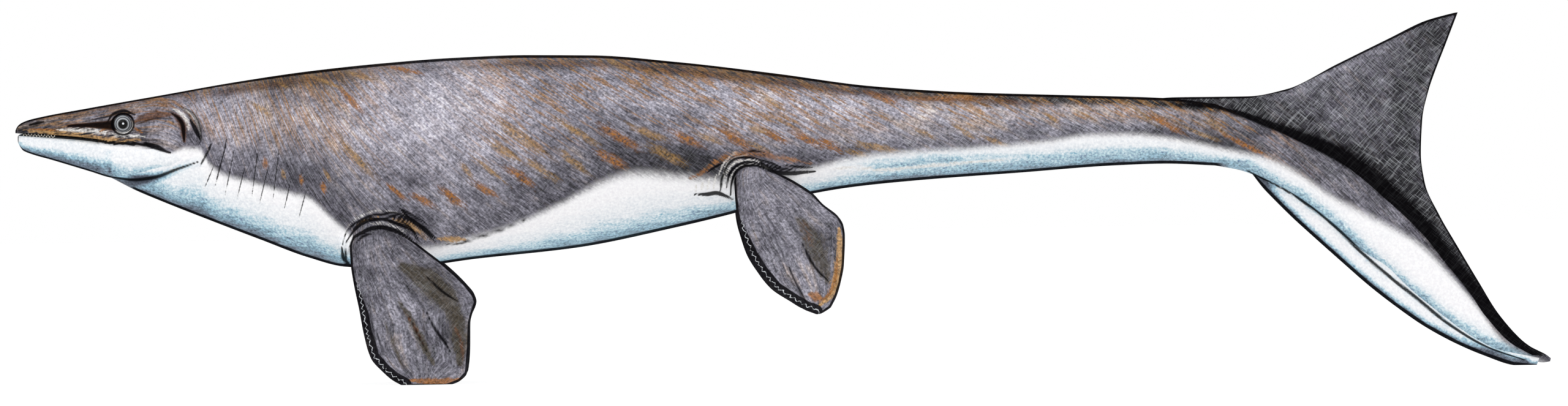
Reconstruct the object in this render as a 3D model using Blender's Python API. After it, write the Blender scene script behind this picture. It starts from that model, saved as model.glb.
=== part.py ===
"""A mosasaur in the flesh, standing on its two fore flippers and the tip of its tail.

Run it with: blender --background --python part.py
Every size is in metres. The animal is drawn in side view first, with x from the tip of the
snout to the tip of the tail and z up from the soles of the fore flippers, and the whole of
it is then tipped a little, so that the tail's tip comes down to the ground as well.
"""

from math import atan2, cos, radians, sin, tan

import bmesh
import bpy
import numpy as np
from mathutils import Vector

# The whole animal stands tipped by this much, and its soft edges are pressed flat by the ground
STANCE_PITCH = radians(0.93)
SOLE_CUT = 0.005
SNOUT_TIP = (0.0, 0.920)
TAIL_TIP = (5.600, 0.088)

# Head, trunk and tail in side view, as (x, z), and half widths, as (x, half width)
BACK = [(0.0, 0.925), (0.012, 0.945), (0.04, 0.96), (0.085, 0.972), (0.26, 1.005), (0.53, 1.053),
        (0.80, 1.101), (1.07, 1.141), (1.34, 1.170), (1.60, 1.190), (1.87, 1.200), (2.10, 1.199),
        (2.41, 1.175), (2.77, 1.133), (3.12, 1.087), (3.48, 1.064), (3.84, 1.054), (4.20, 1.043),
        (4.38, 1.022)]
MOUTH = [(0.0, 0.912), (0.15, 0.902), (0.28, 0.890), (0.36, 0.877), (0.44, 0.874), (0.50, 0.873),
         (0.57, 0.847)]
THROAT = [(0.35, 0.752), (0.44, 0.706), (0.53, 0.668), (0.71, 0.597), (0.89, 0.528),
          (1.07, 0.461), (1.20, 0.428), (1.36, 0.420), (1.69, 0.458), (2.05, 0.498),
          (2.41, 0.572), (2.59, 0.615), (2.80, 0.672), (3.04, 0.717), (3.30, 0.744),
          (3.66, 0.771), (4.02, 0.798), (4.20, 0.804), (4.38, 0.797)]
HALF_WIDTH = [(0.0, 0.018), (0.012, 0.033), (0.04, 0.043), (0.085, 0.050), (0.17, 0.060),
              (0.26, 0.073), (0.35, 0.089), (0.44, 0.106), (0.53, 0.124), (0.61, 0.138),
              (0.68, 0.144), (0.74, 0.152), (0.89, 0.190), (1.07, 0.234), (1.34, 0.284), (1.60, 0.304),
              (2.05, 0.298), (2.40, 0.262), (2.77, 0.205), (3.03, 0.164), (3.30, 0.138),
              (3.66, 0.115), (4.02, 0.098), (4.38, 0.083)]
# Height of the widest place, as a share of the section's own height
WIDEST = [(0.0, 0.30), (0.30, 0.22), (0.345, 0.62), (0.53, 0.56), (0.71, 0.50), (1.07, 0.45),
          (1.60, 0.43), (2.40, 0.45), (3.00, 0.50), (4.38, 0.50)]
# The lower half of a section goes from square under the snout to round at the neck
SQUARENESS = [(0.0, 2.6), (0.04, 3.6), (0.30, 4.0), (0.40, 2.4), (0.60, 2.1), (4.38, 2.0)]
PALATE_END = 0.30
THROAT_START = 0.35
TRUNK_END = 4.38
TRUNK_SHARE = 0.76  # of all the rings
HEAD_CROWDING = 1.35  # the rings stand closer together on the head
TAIL_TURNED = 2.0  # the rows of TAIL over which the sections turn square across it
SLOPE_REACH = 0.2

# The tail past its bend, as (x, z, half height, half width), down its middle
TAIL = [(4.38, 0.909, 0.112, 0.083), (4.50, 0.872, 0.098, 0.079), (4.64, 0.809, 0.092, 0.075),
        (4.77, 0.735, 0.103, 0.072), (4.95, 0.585, 0.105, 0.067), (5.06, 0.498, 0.094, 0.061),
        (5.14, 0.411, 0.087, 0.055), (5.24, 0.311, 0.074, 0.046), (5.33, 0.221, 0.056, 0.036),
        (5.42, 0.156, 0.043, 0.027), (5.51, 0.114, 0.028, 0.018), (5.58, 0.093, 0.015, 0.011),
        (5.60, 0.088, 0.006, 0.006)]

# The fins on the tail, as rays from the tail's middle to the fin's edge: (x, z, x, z)
UPPER_FIN = [(4.10, 0.92, 4.08, 1.030), (4.24, 0.915, 4.22, 1.046), (4.36, 0.90, 4.37, 1.048),
             (4.46, 0.88, 4.50, 1.050), (4.57, 0.84, 4.64, 1.077), (4.68, 0.785, 4.82, 1.167),
             (4.77, 0.735, 5.00, 1.256), (4.84, 0.69, 5.15, 1.328), (4.89, 0.641, 5.262, 1.358),
             (4.95, 0.592, 5.21, 1.222), (5.00, 0.552, 5.166, 1.110), (5.04, 0.516, 5.132, 0.965),
             (5.08, 0.474, 5.127, 0.842), (5.12, 0.429, 5.142, 0.731), (5.16, 0.391, 5.193, 0.619),
             (5.22, 0.337, 5.258, 0.507), (5.29, 0.266, 5.338, 0.373), (5.37, 0.199, 5.41, 0.257),
             (5.45, 0.145, 5.508, 0.150), (5.53, 0.105, 5.585, 0.103)]
LOWER_FIN = [(4.46, 0.88, 4.43, 0.793), (4.52, 0.865, 4.478, 0.793), (4.64, 0.809, 4.559, 0.706),
             (4.77, 0.735, 4.657, 0.608), (4.86, 0.664, 4.746, 0.527), (4.95, 0.585, 4.836, 0.447),
             (5.06, 0.498, 4.938, 0.358), (5.14, 0.411, 5.028, 0.288), (5.24, 0.311, 5.140, 0.210),
             (5.33, 0.221, 5.260, 0.145), (5.42, 0.156, 5.359, 0.103), (5.51, 0.114, 5.461, 0.069),
             (5.56, 0.098, 5.546, 0.060)]
UPPER_FIN_ROOT = 0.036  # half thicknesses
LOWER_FIN_ROOT = 0.026
FIN_EDGE = 0.007

# The lower jaw, as (x, z) and (x, half width)
JAW_TOP_GAP = 0.006
GAP_AT_CORNER = 0.4  # of the gap in front
SLIT_AHEAD, SLIT_HALF_WIDTH = 0.02, 0.25
JAW_WIDEST = 0.62  # height of the widest place, as a share of the jaw's height
JAW_TOP_SQUARE, JAW_BOTTOM_SQUARE = 4.5, 2.3
JAW_CROWDING = 1.2
JAW_START, JAW_END = 0.008, 0.70
JAW_BOTTOM = [(0.008, 0.868), (0.03, 0.850), (0.06, 0.838), (0.13, 0.818), (0.27, 0.776),
              (0.35, 0.752), (0.41, 0.744), (0.47, 0.748), (0.53, 0.760), (0.60, 0.782),
              (0.66, 0.806), (0.70, 0.828)]
JAW_TOP_END = [(0.57, 0.850), (0.64, 0.848), (0.70, 0.842)]
JAW_HALF_WIDTH = [(0.008, 0.016), (0.03, 0.032), (0.06, 0.042), (0.13, 0.052), (0.27, 0.073),
                  (0.35, 0.089), (0.44, 0.109), (0.53, 0.127), (0.60, 0.136), (0.66, 0.130),
                  (0.70, 0.100)]

# Eyes, and the mounds of muscle round the joints of the flippers
EYE = (0.394, 0.947)
EYE_RADIUS = 0.038
EYE_PROUD = 0.007  # how far the ball stands out of the head
EYE_CLEARANCE = 0.0005

# Flippers: leading and trailing edges from the root down to the tip, as (z, x)
FORE_FRONT = [(0.62, 1.245), (0.57, 1.230), (0.50, 1.222), (0.43, 1.227), (0.375, 1.236),
              (0.275, 1.258), (0.185, 1.276), (0.098, 1.303), (0.049, 1.347), (0.020, 1.382),
              (0.0, 1.420)]
FORE_REAR = [(0.62, 1.385), (0.57, 1.405), (0.54, 1.430), (0.50, 1.480), (0.44, 1.560),
             (0.40, 1.606), (0.366, 1.640), (0.326, 1.672), (0.299, 1.680), (0.253, 1.664),
             (0.22, 1.657), (0.139, 1.656), (0.045, 1.648), (0.018, 1.622), (0.0, 1.575)]
HIND_FRONT = [(0.83, 2.640), (0.764, 2.618), (0.690, 2.621), (0.599, 2.630), (0.532, 2.648),
              (0.471, 2.670), (0.409, 2.708), (0.344, 2.762), (0.299, 2.831), (0.275, 2.872),
              (0.264, 2.905)]
HIND_REAR = [(0.83, 2.735), (0.782, 2.752), (0.735, 2.840), (0.695, 2.903), (0.655, 2.941),
             (0.612, 2.994), (0.581, 3.012), (0.545, 3.017), (0.436, 3.012), (0.371, 2.999),
             (0.326, 2.985), (0.284, 2.963), (0.264, 2.935)]
FORE_SPLAY = radians(36)
HIND_SPLAY = radians(40)
FORE_ROOT_OUT = 0.150  # how far out from the middle the blade's middle plane begins
HIND_ROOT_OUT = 0.115
FORE_THICKNESS = [(0.62, 0.066), (0.50, 0.055), (0.375, 0.036), (0.185, 0.020), (0.0, 0.012)]
HIND_THICKNESS = [(0.83, 0.056), (0.735, 0.048), (0.60, 0.032), (0.41, 0.018), (0.264, 0.009)]
BLADE_TAPER = 0.35  # a blade is thicker in front than behind
TIP_CROWDING = 1.25
ROOT_GAP = 0.0005

SHOULDER = {"centre": (1.335, 0.520), "out": 0.190, "radii": (0.155, 0.075, 0.090)}
HIP = {"centre": (2.730, 0.775), "out": 0.150, "radii": (0.160, 0.062, 0.085)}
MOUND_FACETS = (12, 6)

# How finely each skin is cut into facets
BODY_SIDES, BODY_RINGS = 28, 62
JAW_SIDES, JAW_RINGS = 16, 16
FLIPPER_SIDES, FLIPPER_RINGS = 16, 13
FIN_SIDES = 8
EYE_FACETS = (14, 8)
SLIT_SIDES, SLIT_RINGS = 8, 12
SAME_POINT = 1e-5

GROUND_SLAB = (8.0, 4.0, 0.2)

SLATE = (0.27, 0.25, 0.27)
PALE = (0.80, 0.84, 0.87)
CHARCOAL = (0.13, 0.12, 0.13)
EYE_GREY = (0.30, 0.32, 0.34)


def smooth_line(points):
    """A smooth line through the points that never swings past them, as a function."""
    x = np.array([p[0] for p in points])
    z = np.array([p[1] for p in points])
    if x[0] > x[-1]:
        x, z = x[::-1], z[::-1]
    step = np.diff(x)
    slope = np.diff(z) / step
    lean = np.zeros(len(x))
    lean[0], lean[-1] = slope[0], slope[-1]
    for i in range(1, len(x) - 1):
        if slope[i - 1] * slope[i] > 0:
            near, far = 2 * step[i] + step[i - 1], step[i] + 2 * step[i - 1]
            lean[i] = (near + far) / (near / slope[i - 1] + far / slope[i])

    def at(value):
        value = min(max(value, x[0]), x[-1])
        i = min(int(np.searchsorted(x, value, side="right")) - 1, len(x) - 2)
        i = max(i, 0)
        t = (value - x[i]) / step[i]
        return float(
            (1 + 2 * t) * (1 - t) ** 2 * z[i]
            + t * (1 - t) ** 2 * step[i] * lean[i]
            + t * t * (3 - 2 * t) * z[i + 1]
            + t * t * (t - 1) * step[i] * lean[i + 1]
        )

    return at


def smooth_columns(rows):
    """Smooth lines through each column of a table of rows, as one function of the row's number."""
    columns = [smooth_line(list(enumerate(column))) for column in zip(*rows)]
    return lambda place: [line(place) for line in columns]


back, mouth, throat = smooth_line(BACK), smooth_line(MOUTH), smooth_line(THROAT)
half_width, widest = smooth_line(HALF_WIDTH), smooth_line(WIDEST)
squareness = smooth_line(SQUARENESS)
tail_row = smooth_columns(TAIL)


def underside(x):
    """The lowest line of the body: the palate under the snout, and the throat and belly behind it."""
    palate = mouth(x) + 0.5 * JAW_TOP_GAP
    if x <= PALATE_END:
        return palate
    share = min((x - PALATE_END) / (THROAT_START - PALATE_END), 1.0)
    return palate + (throat(max(x, THROAT_START)) - palate) * share


def rounded(c, s, square):
    """A point of a rounded square of side 2: square 2 is a circle, and more is nearer a square."""
    power = 2.0 / square
    return abs(c) ** power * (1 if c > 0 else -1), abs(s) ** power * (1 if s > 0 else -1)


def body_ring(share):
    """Where a ring of the body stands, and its half sizes. share is 0 at the snout and 1 at the tail's tip."""
    if share <= TRUNK_SHARE:
        x = TRUNK_END * (share / TRUNK_SHARE) ** HEAD_CROWDING
        top, low = back(x), underside(x)
        middle = low + (top - low) * widest(x)
        return {"at": (x, middle), "lean": 0.0, "up": top - middle, "down": middle - low,
                "out": half_width(x), "square": squareness(x)}
    last = len(TAIL) - 1
    place = (share - TRUNK_SHARE) / (1 - TRUNK_SHARE) * last
    x, z, half_height, out = tail_row(place)
    before, after = tail_row(max(place - SLOPE_REACH, 0)), tail_row(min(place + SLOPE_REACH, last))
    lean = atan2(before[1] - after[1], after[0] - before[0]) * min(place / TAIL_TURNED, 1.0)
    return {"at": (x, z), "lean": lean, "up": half_height, "down": half_height, "out": out, "square": 2.0}


def section_point(ring, c, s):
    """The point of a ring at the angle whose cosine and sine are c and s."""
    out, up = rounded(c, s, ring["square"] if s < 0 else 2.0)
    rise = up * (ring["up"] if s >= 0 else ring["down"])
    x, z = ring["at"]
    return Vector((x + rise * sin(ring["lean"]), out * ring["out"], z + rise * cos(ring["lean"])))


def tube(sides, rings):
    """A closed tube of unit radius along Z from 0 to 1, cut into rings, which a shape is then given to."""
    bm = bmesh.new()
    bmesh.ops.create_cone(bm, cap_ends=True, segments=sides, radius1=1, radius2=1, depth=1)
    bmesh.ops.translate(bm, verts=bm.verts, vec=(0, 0, 0.5))
    long_edges = [e for e in bm.edges if abs(e.verts[0].co.z - e.verts[1].co.z) > 0.5]
    bmesh.ops.subdivide_edges(bm, edges=long_edges, cuts=rings - 2)
    return bm


def shaped_tube(sides, rings, place):
    """A tube whose every vertex goes where place(share along, cosine, sine) says."""
    bm = tube(sides, rings)
    for vertex in bm.verts:
        turn = atan2(vertex.co.y, vertex.co.x)
        vertex.co = place(vertex.co.z, cos(turn), sin(turn))
    return bm


def material(name, colour, roughness):
    made = bpy.data.materials.new(name)
    made.use_nodes = True
    shader = made.node_tree.nodes["Principled BSDF"]
    shader.inputs["Base Color"].default_value = (*colour, 1)
    shader.inputs["Roughness"].default_value = roughness
    return made


def finished(bm, name, skin, parent):
    """An object of the shape in bm, with outward faces and smooth shading."""
    bmesh.ops.remove_doubles(bm, verts=bm.verts, dist=SAME_POINT)
    bmesh.ops.triangulate(bm, faces=bm.faces)
    bmesh.ops.recalc_face_normals(bm, faces=bm.faces)
    mesh = bpy.data.meshes.new(name)
    bm.to_mesh(mesh)
    bm.free()
    mesh.shade_smooth()
    made = bpy.data.objects.new(name, mesh)
    bpy.context.collection.objects.link(made)
    made.data.materials.append(skin)
    made.parent = parent
    return made


def helper(made):
    """Hides an object that only cuts or joins others."""
    made.hide_render = True
    made.display_type = "WIRE"
    return made


def boolean(made, other, operation):
    modifier = made.modifiers.new(f"{operation.lower()} {other.name}", "BOOLEAN")
    modifier.object = other
    modifier.operation = operation


def body_shape():
    return shaped_tube(
        BODY_SIDES, BODY_RINGS, lambda share, c, s: section_point(body_ring(share), c, s)
    )


def fin_shape(rays, root_thickness):
    """A thin fin: each ray from the tail's middle to the fin's edge is one flat oval ring."""
    ray_at = smooth_columns(rays)

    def place(share, c, s):
        x0, z0, x1, z1 = ray_at(share * (len(rays) - 1))
        reach = (c + 1) / 2
        thick = root_thickness + (FIN_EDGE - root_thickness) * reach
        return Vector((x0 + (x1 - x0) * reach, thick * s, z0 + (z1 - z0) * reach))

    return shaped_tube(FIN_SIDES, 2 * len(rays), place)


def jaw_shape():
    """The lower jaw: flat on top along the line of the mouth, rounded below, sunk into the cheek behind."""
    bottom, out_at = smooth_line(JAW_BOTTOM), smooth_line(JAW_HALF_WIDTH)
    top_end = smooth_line(JAW_TOP_END)
    mouth_corner = MOUTH[-1][0]

    def place(share, c, s):
        x = JAW_START + (JAW_END - JAW_START) * share ** JAW_CROWDING
        top = mouth(x) - 0.5 * JAW_TOP_GAP if x < mouth_corner else top_end(x)
        low = bottom(x)
        middle = low + JAW_WIDEST * (top - low)
        out, up = rounded(c, s, JAW_TOP_SQUARE if s > 0 else JAW_BOTTOM_SQUARE)
        rise = up * (top - middle if s > 0 else middle - low)
        return Vector((x, out * out_at(x), middle + rise))

    return shaped_tube(JAW_SIDES, JAW_RINGS, place)


def mouth_slit_shape():
    """The gap between the jaws, open in front and ending in the corner of the mouth."""
    length = MOUTH[-1][0] + SLIT_AHEAD

    def place(share, c, s):
        x = length * share - SLIT_AHEAD
        half_gap = 0.5 * JAW_TOP_GAP * (1 - (1 - GAP_AT_CORNER) * share)
        return Vector((x, SLIT_HALF_WIDTH * c, mouth(x) + half_gap * s))

    return shaped_tube(SLIT_SIDES, SLIT_RINGS, place)


def flipper_shape(front_line, rear_line, thickness_line, splay, root_out, side):
    """A paddle: flat ovals from the root down to the tip, in a plane that leans outwards."""
    front, rear = smooth_line(front_line), smooth_line(rear_line)
    thickness = smooth_line(thickness_line)
    root_z, tip_z = front_line[0][0], front_line[-1][0]

    def place(share, c, s):
        z = root_z + (tip_z - root_z) * (1 - (1 - share) ** TIP_CROWDING)
        middle = (front(z) + rear(z)) / 2
        half_chord = (rear(z) - front(z)) / 2
        offset = thickness(z) * s * (1 - BLADE_TAPER * c)
        out = root_out + (root_z - z) * tan(splay) + offset * cos(splay)
        return Vector((middle + half_chord * c, side * out, z + offset * sin(splay)))

    return shaped_tube(FLIPPER_SIDES, FLIPPER_RINGS, place)


def mound_shape(spec, side):
    """A low mound of muscle round the root of a flipper."""
    bm = bmesh.new()
    around, down = MOUND_FACETS
    bmesh.ops.create_uvsphere(bm, u_segments=around, v_segments=down, radius=1)
    bmesh.ops.scale(bm, verts=bm.verts, vec=spec["radii"])
    x, z = spec["centre"]
    bmesh.ops.translate(bm, verts=bm.verts, vec=(x, side * spec["out"], z))
    return bm


def eye_shape(side, radius):
    bm = bmesh.new()
    around, down = EYE_FACETS
    bmesh.ops.create_uvsphere(bm, u_segments=around, v_segments=down, radius=radius)
    x, z = EYE
    out = half_width(x) + EYE_PROUD - EYE_RADIUS
    bmesh.ops.translate(bm, verts=bm.verts, vec=(x, side * out, z))
    return bm


def ground_cutter():
    """A slab whose top is the ground, in the tipped frame, so it has no parent."""
    bm = bmesh.new()
    bmesh.ops.create_cube(bm, size=1)
    bmesh.ops.scale(bm, verts=bm.verts, vec=GROUND_SLAB)
    bmesh.ops.translate(bm, verts=bm.verts, vec=(0, 0, -GROUND_SLAB[2] / 2))
    return helper(finished(bm, "ground_cutter", bpy.data.materials["charcoal skin"], None))


def stance_empty():
    """The empty that carries the animal: it tips it, and puts the middle of its box over the origin."""
    empty = bpy.data.objects.new("stance", None)
    bpy.context.collection.objects.link(empty)
    empty.rotation_euler = (0, STANCE_PITCH, 0)
    turn = empty.rotation_euler.to_matrix()
    snout, tail, sole = (
        turn @ Vector((x, 0, z)) for x, z in (SNOUT_TIP, TAIL_TIP, (FORE_REAR[-1][1], 0))
    )
    empty.location = (-(snout.x + tail.x) / 2, 0, -sole.z - SOLE_CUT)
    return empty


def fatter_copy(made, name):
    """A hidden copy of an object with its modifiers, grown by the gap that parts two pieces."""
    copy = helper(made.copy())
    copy.name = name
    bpy.context.collection.objects.link(copy)
    swell = copy.modifiers.new("swell", "DISPLACE")
    swell.mid_level = 0
    swell.strength = ROOT_GAP
    return copy


def build():
    for old in list(bpy.data.objects):
        bpy.data.objects.remove(old)
    slate = material("slate skin", SLATE, 0.5)
    pale = material("pale skin", PALE, 0.5)
    charcoal = material("charcoal skin", CHARCOAL, 0.5)
    iris = material("eye", EYE_GREY, 0.1)
    stance = stance_empty()
    ground = ground_cutter()

    body = finished(body_shape(), "body", slate, stance)
    jaw = finished(jaw_shape(), "lower_jaw", pale, stance)
    fins = (("upper_fin", UPPER_FIN, UPPER_FIN_ROOT), ("lower_fin", LOWER_FIN, LOWER_FIN_ROOT))
    for name, rays, root in fins:
        boolean(body, helper(finished(fin_shape(rays, root), name, slate, stance)), "UNION")
    for name, spec in (("shoulder", SHOULDER), ("hip", HIP)):
        for end, side in (("left", -1), ("right", 1)):
            mound = finished(mound_shape(spec, side), f"{name}_mound_{end}", slate, stance)
            boolean(body, helper(mound), "UNION")
    body_guide = fatter_copy(body, "body_guide")

    boolean(body, fatter_copy(jaw, "jaw_guide"), "DIFFERENCE")
    slit = helper(finished(mouth_slit_shape(), "mouth_slit", charcoal, stance))
    boolean(body, slit, "DIFFERENCE")
    boolean(body, ground, "DIFFERENCE")

    for end, side in (("left", -1), ("right", 1)):
        finished(eye_shape(side, EYE_RADIUS), f"eye_{end}", iris, stance)
        socket = finished(eye_shape(side, EYE_RADIUS + EYE_CLEARANCE), f"eye_socket_{end}", iris, stance)
        boolean(body, helper(socket), "DIFFERENCE")
        fore = flipper_shape(FORE_FRONT, FORE_REAR, FORE_THICKNESS, FORE_SPLAY, FORE_ROOT_OUT, side)
        hind = flipper_shape(HIND_FRONT, HIND_REAR, HIND_THICKNESS, HIND_SPLAY, HIND_ROOT_OUT, side)
        for name, shape in ((f"fore_flipper_{end}", fore), (f"hind_flipper_{end}", hind)):
            flipper = finished(shape, name, charcoal, stance)
            boolean(flipper, body_guide, "DIFFERENCE")
            boolean(flipper, ground, "DIFFERENCE")


build()
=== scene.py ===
# %% [markdown]
# # A mosasaur in the flesh
#
# A mosasaur was a swimming lizard as long as a car. This one is the whole living animal: a long
# flat-sided head, a deep trunk, paddles for limbs and a tail that bends down into a fork. Its
# skin is slate above and white below, with rust-coloured dashes along the flank.
# The solids that carry the shape are loaded first. Everything after that dresses them.

from math import cos, pi, radians, sin, tan

import bmesh
import bpy
import numpy as np
from mathutils import Matrix, Vector


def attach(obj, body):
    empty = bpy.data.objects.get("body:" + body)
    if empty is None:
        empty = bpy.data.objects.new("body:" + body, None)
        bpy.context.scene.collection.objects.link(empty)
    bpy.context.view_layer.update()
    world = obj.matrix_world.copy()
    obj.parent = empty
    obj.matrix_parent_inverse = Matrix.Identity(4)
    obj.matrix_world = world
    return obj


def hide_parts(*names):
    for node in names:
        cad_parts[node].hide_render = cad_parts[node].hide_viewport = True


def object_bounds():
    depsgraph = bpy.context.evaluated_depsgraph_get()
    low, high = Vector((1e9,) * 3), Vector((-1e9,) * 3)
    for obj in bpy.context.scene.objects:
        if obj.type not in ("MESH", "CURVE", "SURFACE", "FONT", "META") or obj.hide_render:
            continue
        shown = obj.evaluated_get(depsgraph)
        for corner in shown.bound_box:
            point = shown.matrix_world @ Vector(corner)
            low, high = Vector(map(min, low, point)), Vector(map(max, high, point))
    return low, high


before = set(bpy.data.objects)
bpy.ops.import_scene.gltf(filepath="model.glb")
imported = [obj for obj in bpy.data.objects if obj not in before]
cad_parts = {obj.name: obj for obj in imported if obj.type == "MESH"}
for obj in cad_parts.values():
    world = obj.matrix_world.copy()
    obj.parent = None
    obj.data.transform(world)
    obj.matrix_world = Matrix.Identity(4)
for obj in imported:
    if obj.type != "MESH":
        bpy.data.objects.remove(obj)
cad_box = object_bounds()
print("nodes:", ", ".join(sorted(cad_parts)))
print("box of the solids:", [tuple(round(v, 3) for v in corner) for corner in cad_box])

# %% [markdown]
# ## Where things are
#
# The animal is easiest to describe in plain side view: x runs from the tip of the snout to the
# tip of the tail, z rises from the soles of the fore flippers, and y is how far out a point is.
# The real one stands tipped by less than a degree, so that the tail touches the ground as well.
# One matrix takes a point from the side view to where the solids stand.

# %% From the side view to the ground
STANCE_PITCH = radians(0.93)
SOLE_CUT = 0.005
SNOUT_TIP, TAIL_TIP, SOLE_HEEL = Vector((0, 0, 0.920)), Vector((5.600, 0, 0.088)), Vector((1.575, 0, 0))
turn = Matrix.Rotation(STANCE_PITCH, 4, "Y")
ends = turn @ SNOUT_TIP + turn @ TAIL_TIP
stance = Matrix.Translation((-ends.x / 2, 0, -(turn @ SOLE_HEEL).z - SOLE_CUT)) @ turn
print("the side view's origin stands at", tuple(round(v, 4) for v in stance.translation))

# %% [markdown]
# ## The camera, the floor and the light
#
# The drawing shows the animal from its left, square on and with no perspective. A camera far
# away with a long lens gives the same picture. It is turned a hair towards the head, so that
# each far flipper hides behind its twin, and it rolls with the animal's own tilt.
# The floor is a wide sheet of paper lit from below, as on a light table, so shadows stay pale.
# Two broad suns make the soft light: such light is as even on the floor far away as it is on
# the animal, which small lamps wouldn't give.

# %% Camera
PICTURE_WIDTH = 5.7206  # of the side view, in metres
PICTURE_CENTRE = Vector((2.8022, 0, 0.6603))
CAMERA_DISTANCE, CLIP_NEAR, CLIP_FAR = 60.0, 1.0, 1000.0
CAMERA_TURN = radians(-0.65)
SENSOR = 36.0

camera = bpy.data.objects.new("camera", bpy.data.cameras.new("camera"))
bpy.context.scene.collection.objects.link(camera)
camera.data.sensor_width = SENSOR
camera.data.lens = SENSOR * CAMERA_DISTANCE / PICTURE_WIDTH
camera.data.clip_start, camera.data.clip_end = CLIP_NEAR, CLIP_FAR
aim = Matrix.Rotation(CAMERA_TURN, 4, "Z") @ Matrix.Rotation(STANCE_PITCH, 4, "Y")
aim = aim @ Matrix.Rotation(pi / 2, 4, "X")
stand_back = Matrix.Translation((0, 0, CAMERA_DISTANCE))
camera.matrix_world = Matrix.Translation(stance @ PICTURE_CENTRE) @ aim @ stand_back
bpy.context.scene.camera = camera
bpy.context.scene.view_settings.view_transform = "Standard"
print("lens:", round(camera.data.lens), "mm")


# %% Adding a node, and turning a hex colour to linear light
def linear(hex_colour):
    """The linear red, green, blue and alpha of an sRGB colour such as "8f8a90"."""
    parts = [int(hex_colour[i : i + 2], 16) / 255 for i in (0, 2, 4)]
    return (*(p / 12.92 if p <= 0.04045 else ((p + 0.055) / 1.055) ** 2.4 for p in parts), 1.0)


def add(tree, kind, sockets=None, **settings):
    """Adds a node. A socket takes a number, a colour, or the node or the socket it is joined to."""
    made = tree.nodes.new("ShaderNode" + kind)
    for name, value in settings.items():
        setattr(made, name, value)
    for name, value in (sockets or {}).items():
        if isinstance(value, bpy.types.Node):
            value = value.outputs[0]
        if isinstance(value, bpy.types.NodeSocket):
            tree.links.new(value, made.inputs[name])
        else:
            made.inputs[name].default_value = value
    return made


def new_material(name):
    """An empty material, ready for its nodes."""
    made = bpy.data.materials.new(name)
    made.use_nodes = True
    made.node_tree.nodes.clear()
    return made, made.node_tree


# %% Floor, sky and lamps
FLOOR_HALF = 300.0
PAPER, PAPER_GLOW, PAPER_ROUGHNESS = "6c6c6c", 0.86, 0.9
SKY_LIGHT, SKY_SEEN = 0.72, 1.0
LAMPS = {  # the way the light travels, its strength, and how wide the soft source is
    "key": ((0.25, 0.55, -0.80), 1.25, radians(70)),
    "fill": ((-0.30, -0.75, -0.55), 0.35, radians(110)),
}

bm = bmesh.new()
bmesh.ops.create_grid(bm, x_segments=1, y_segments=1, size=FLOOR_HALF)
floor_mesh = bpy.data.meshes.new("floor")
bm.to_mesh(floor_mesh)
bm.free()
floor = bpy.data.objects.new("floor", floor_mesh)
bpy.context.scene.collection.objects.link(floor)
paper, tree = new_material("matt white paper on a light table")
glow = {"Emission Color": (1, 1, 1, 1), "Emission Strength": PAPER_GLOW}
shader = add(tree, "BsdfPrincipled", {"Base Color": linear(PAPER), "Roughness": PAPER_ROUGHNESS, **glow})
add(tree, "OutputMaterial", {"Surface": shader})
floor.data.materials.append(paper)

world = bpy.data.worlds.new("studio")
bpy.context.scene.world = world
world.use_nodes = True
world.node_tree.nodes.clear()
rays = add(world.node_tree, "LightPath")
seen = {"Value": rays.outputs["Is Camera Ray"], "To Min": SKY_LIGHT, "To Max": SKY_SEEN}
strength = add(world.node_tree, "MapRange", seen)
sky = add(world.node_tree, "Background", {"Color": (1, 1, 1, 1), "Strength": strength})
add(world.node_tree, "OutputWorld", {"Surface": sky})

for name, (direction, power, spread) in LAMPS.items():
    lamp = bpy.data.objects.new(name, bpy.data.lights.new(name, "SUN"))
    bpy.context.scene.collection.objects.link(lamp)
    lamp.data.energy, lamp.data.angle = power, spread
    lamp.rotation_euler = Vector(direction).to_track_quat("-Z", "Y").to_euler()
    print("lamp", name, "strength", power)


# %% [markdown]
# ## Smooth lines
#
# A boatbuilder fairs a hull from a few measured points with a bendy spline. The lines of the
# animal are made the same way: a few points, and a smooth line that never swings past them.
# The line takes whole arrays at once, so that thousands of vertices can be asked for together.

# %% A smooth line through a few points
def smooth_line(points):
    x, z = (np.array(side, float) for side in zip(*sorted(points)))
    step = np.diff(x)
    slope = np.diff(z) / step
    lean = np.zeros(len(x))
    lean[0], lean[-1] = slope[0], slope[-1]
    for i in range(1, len(x) - 1):
        if slope[i - 1] * slope[i] > 0:
            near, far = 2 * step[i] + step[i - 1], step[i] + 2 * step[i - 1]
            lean[i] = (near + far) / (near / slope[i - 1] + far / slope[i])

    def at(value):
        value = np.clip(value, x[0], x[-1])
        i = np.clip(np.searchsorted(x, value, side="right") - 1, 0, len(x) - 2)
        t = (value - x[i]) / step[i]
        start, end = (1 + 2 * t) * (1 - t) ** 2, t * t * (3 - 2 * t)
        leaning = t * (1 - t) ** 2 * lean[i] + t * t * (t - 1) * lean[i + 1]
        return start * z[i] + end * z[i + 1] + step[i] * leaning

    return at


def smooth_columns(rows):
    """Smooth lines through each column of a table of rows, as one function of the row's number."""
    columns = [smooth_line(list(enumerate(column))) for column in zip(*rows)]
    return lambda place: [line(place) for line in columns]


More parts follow.
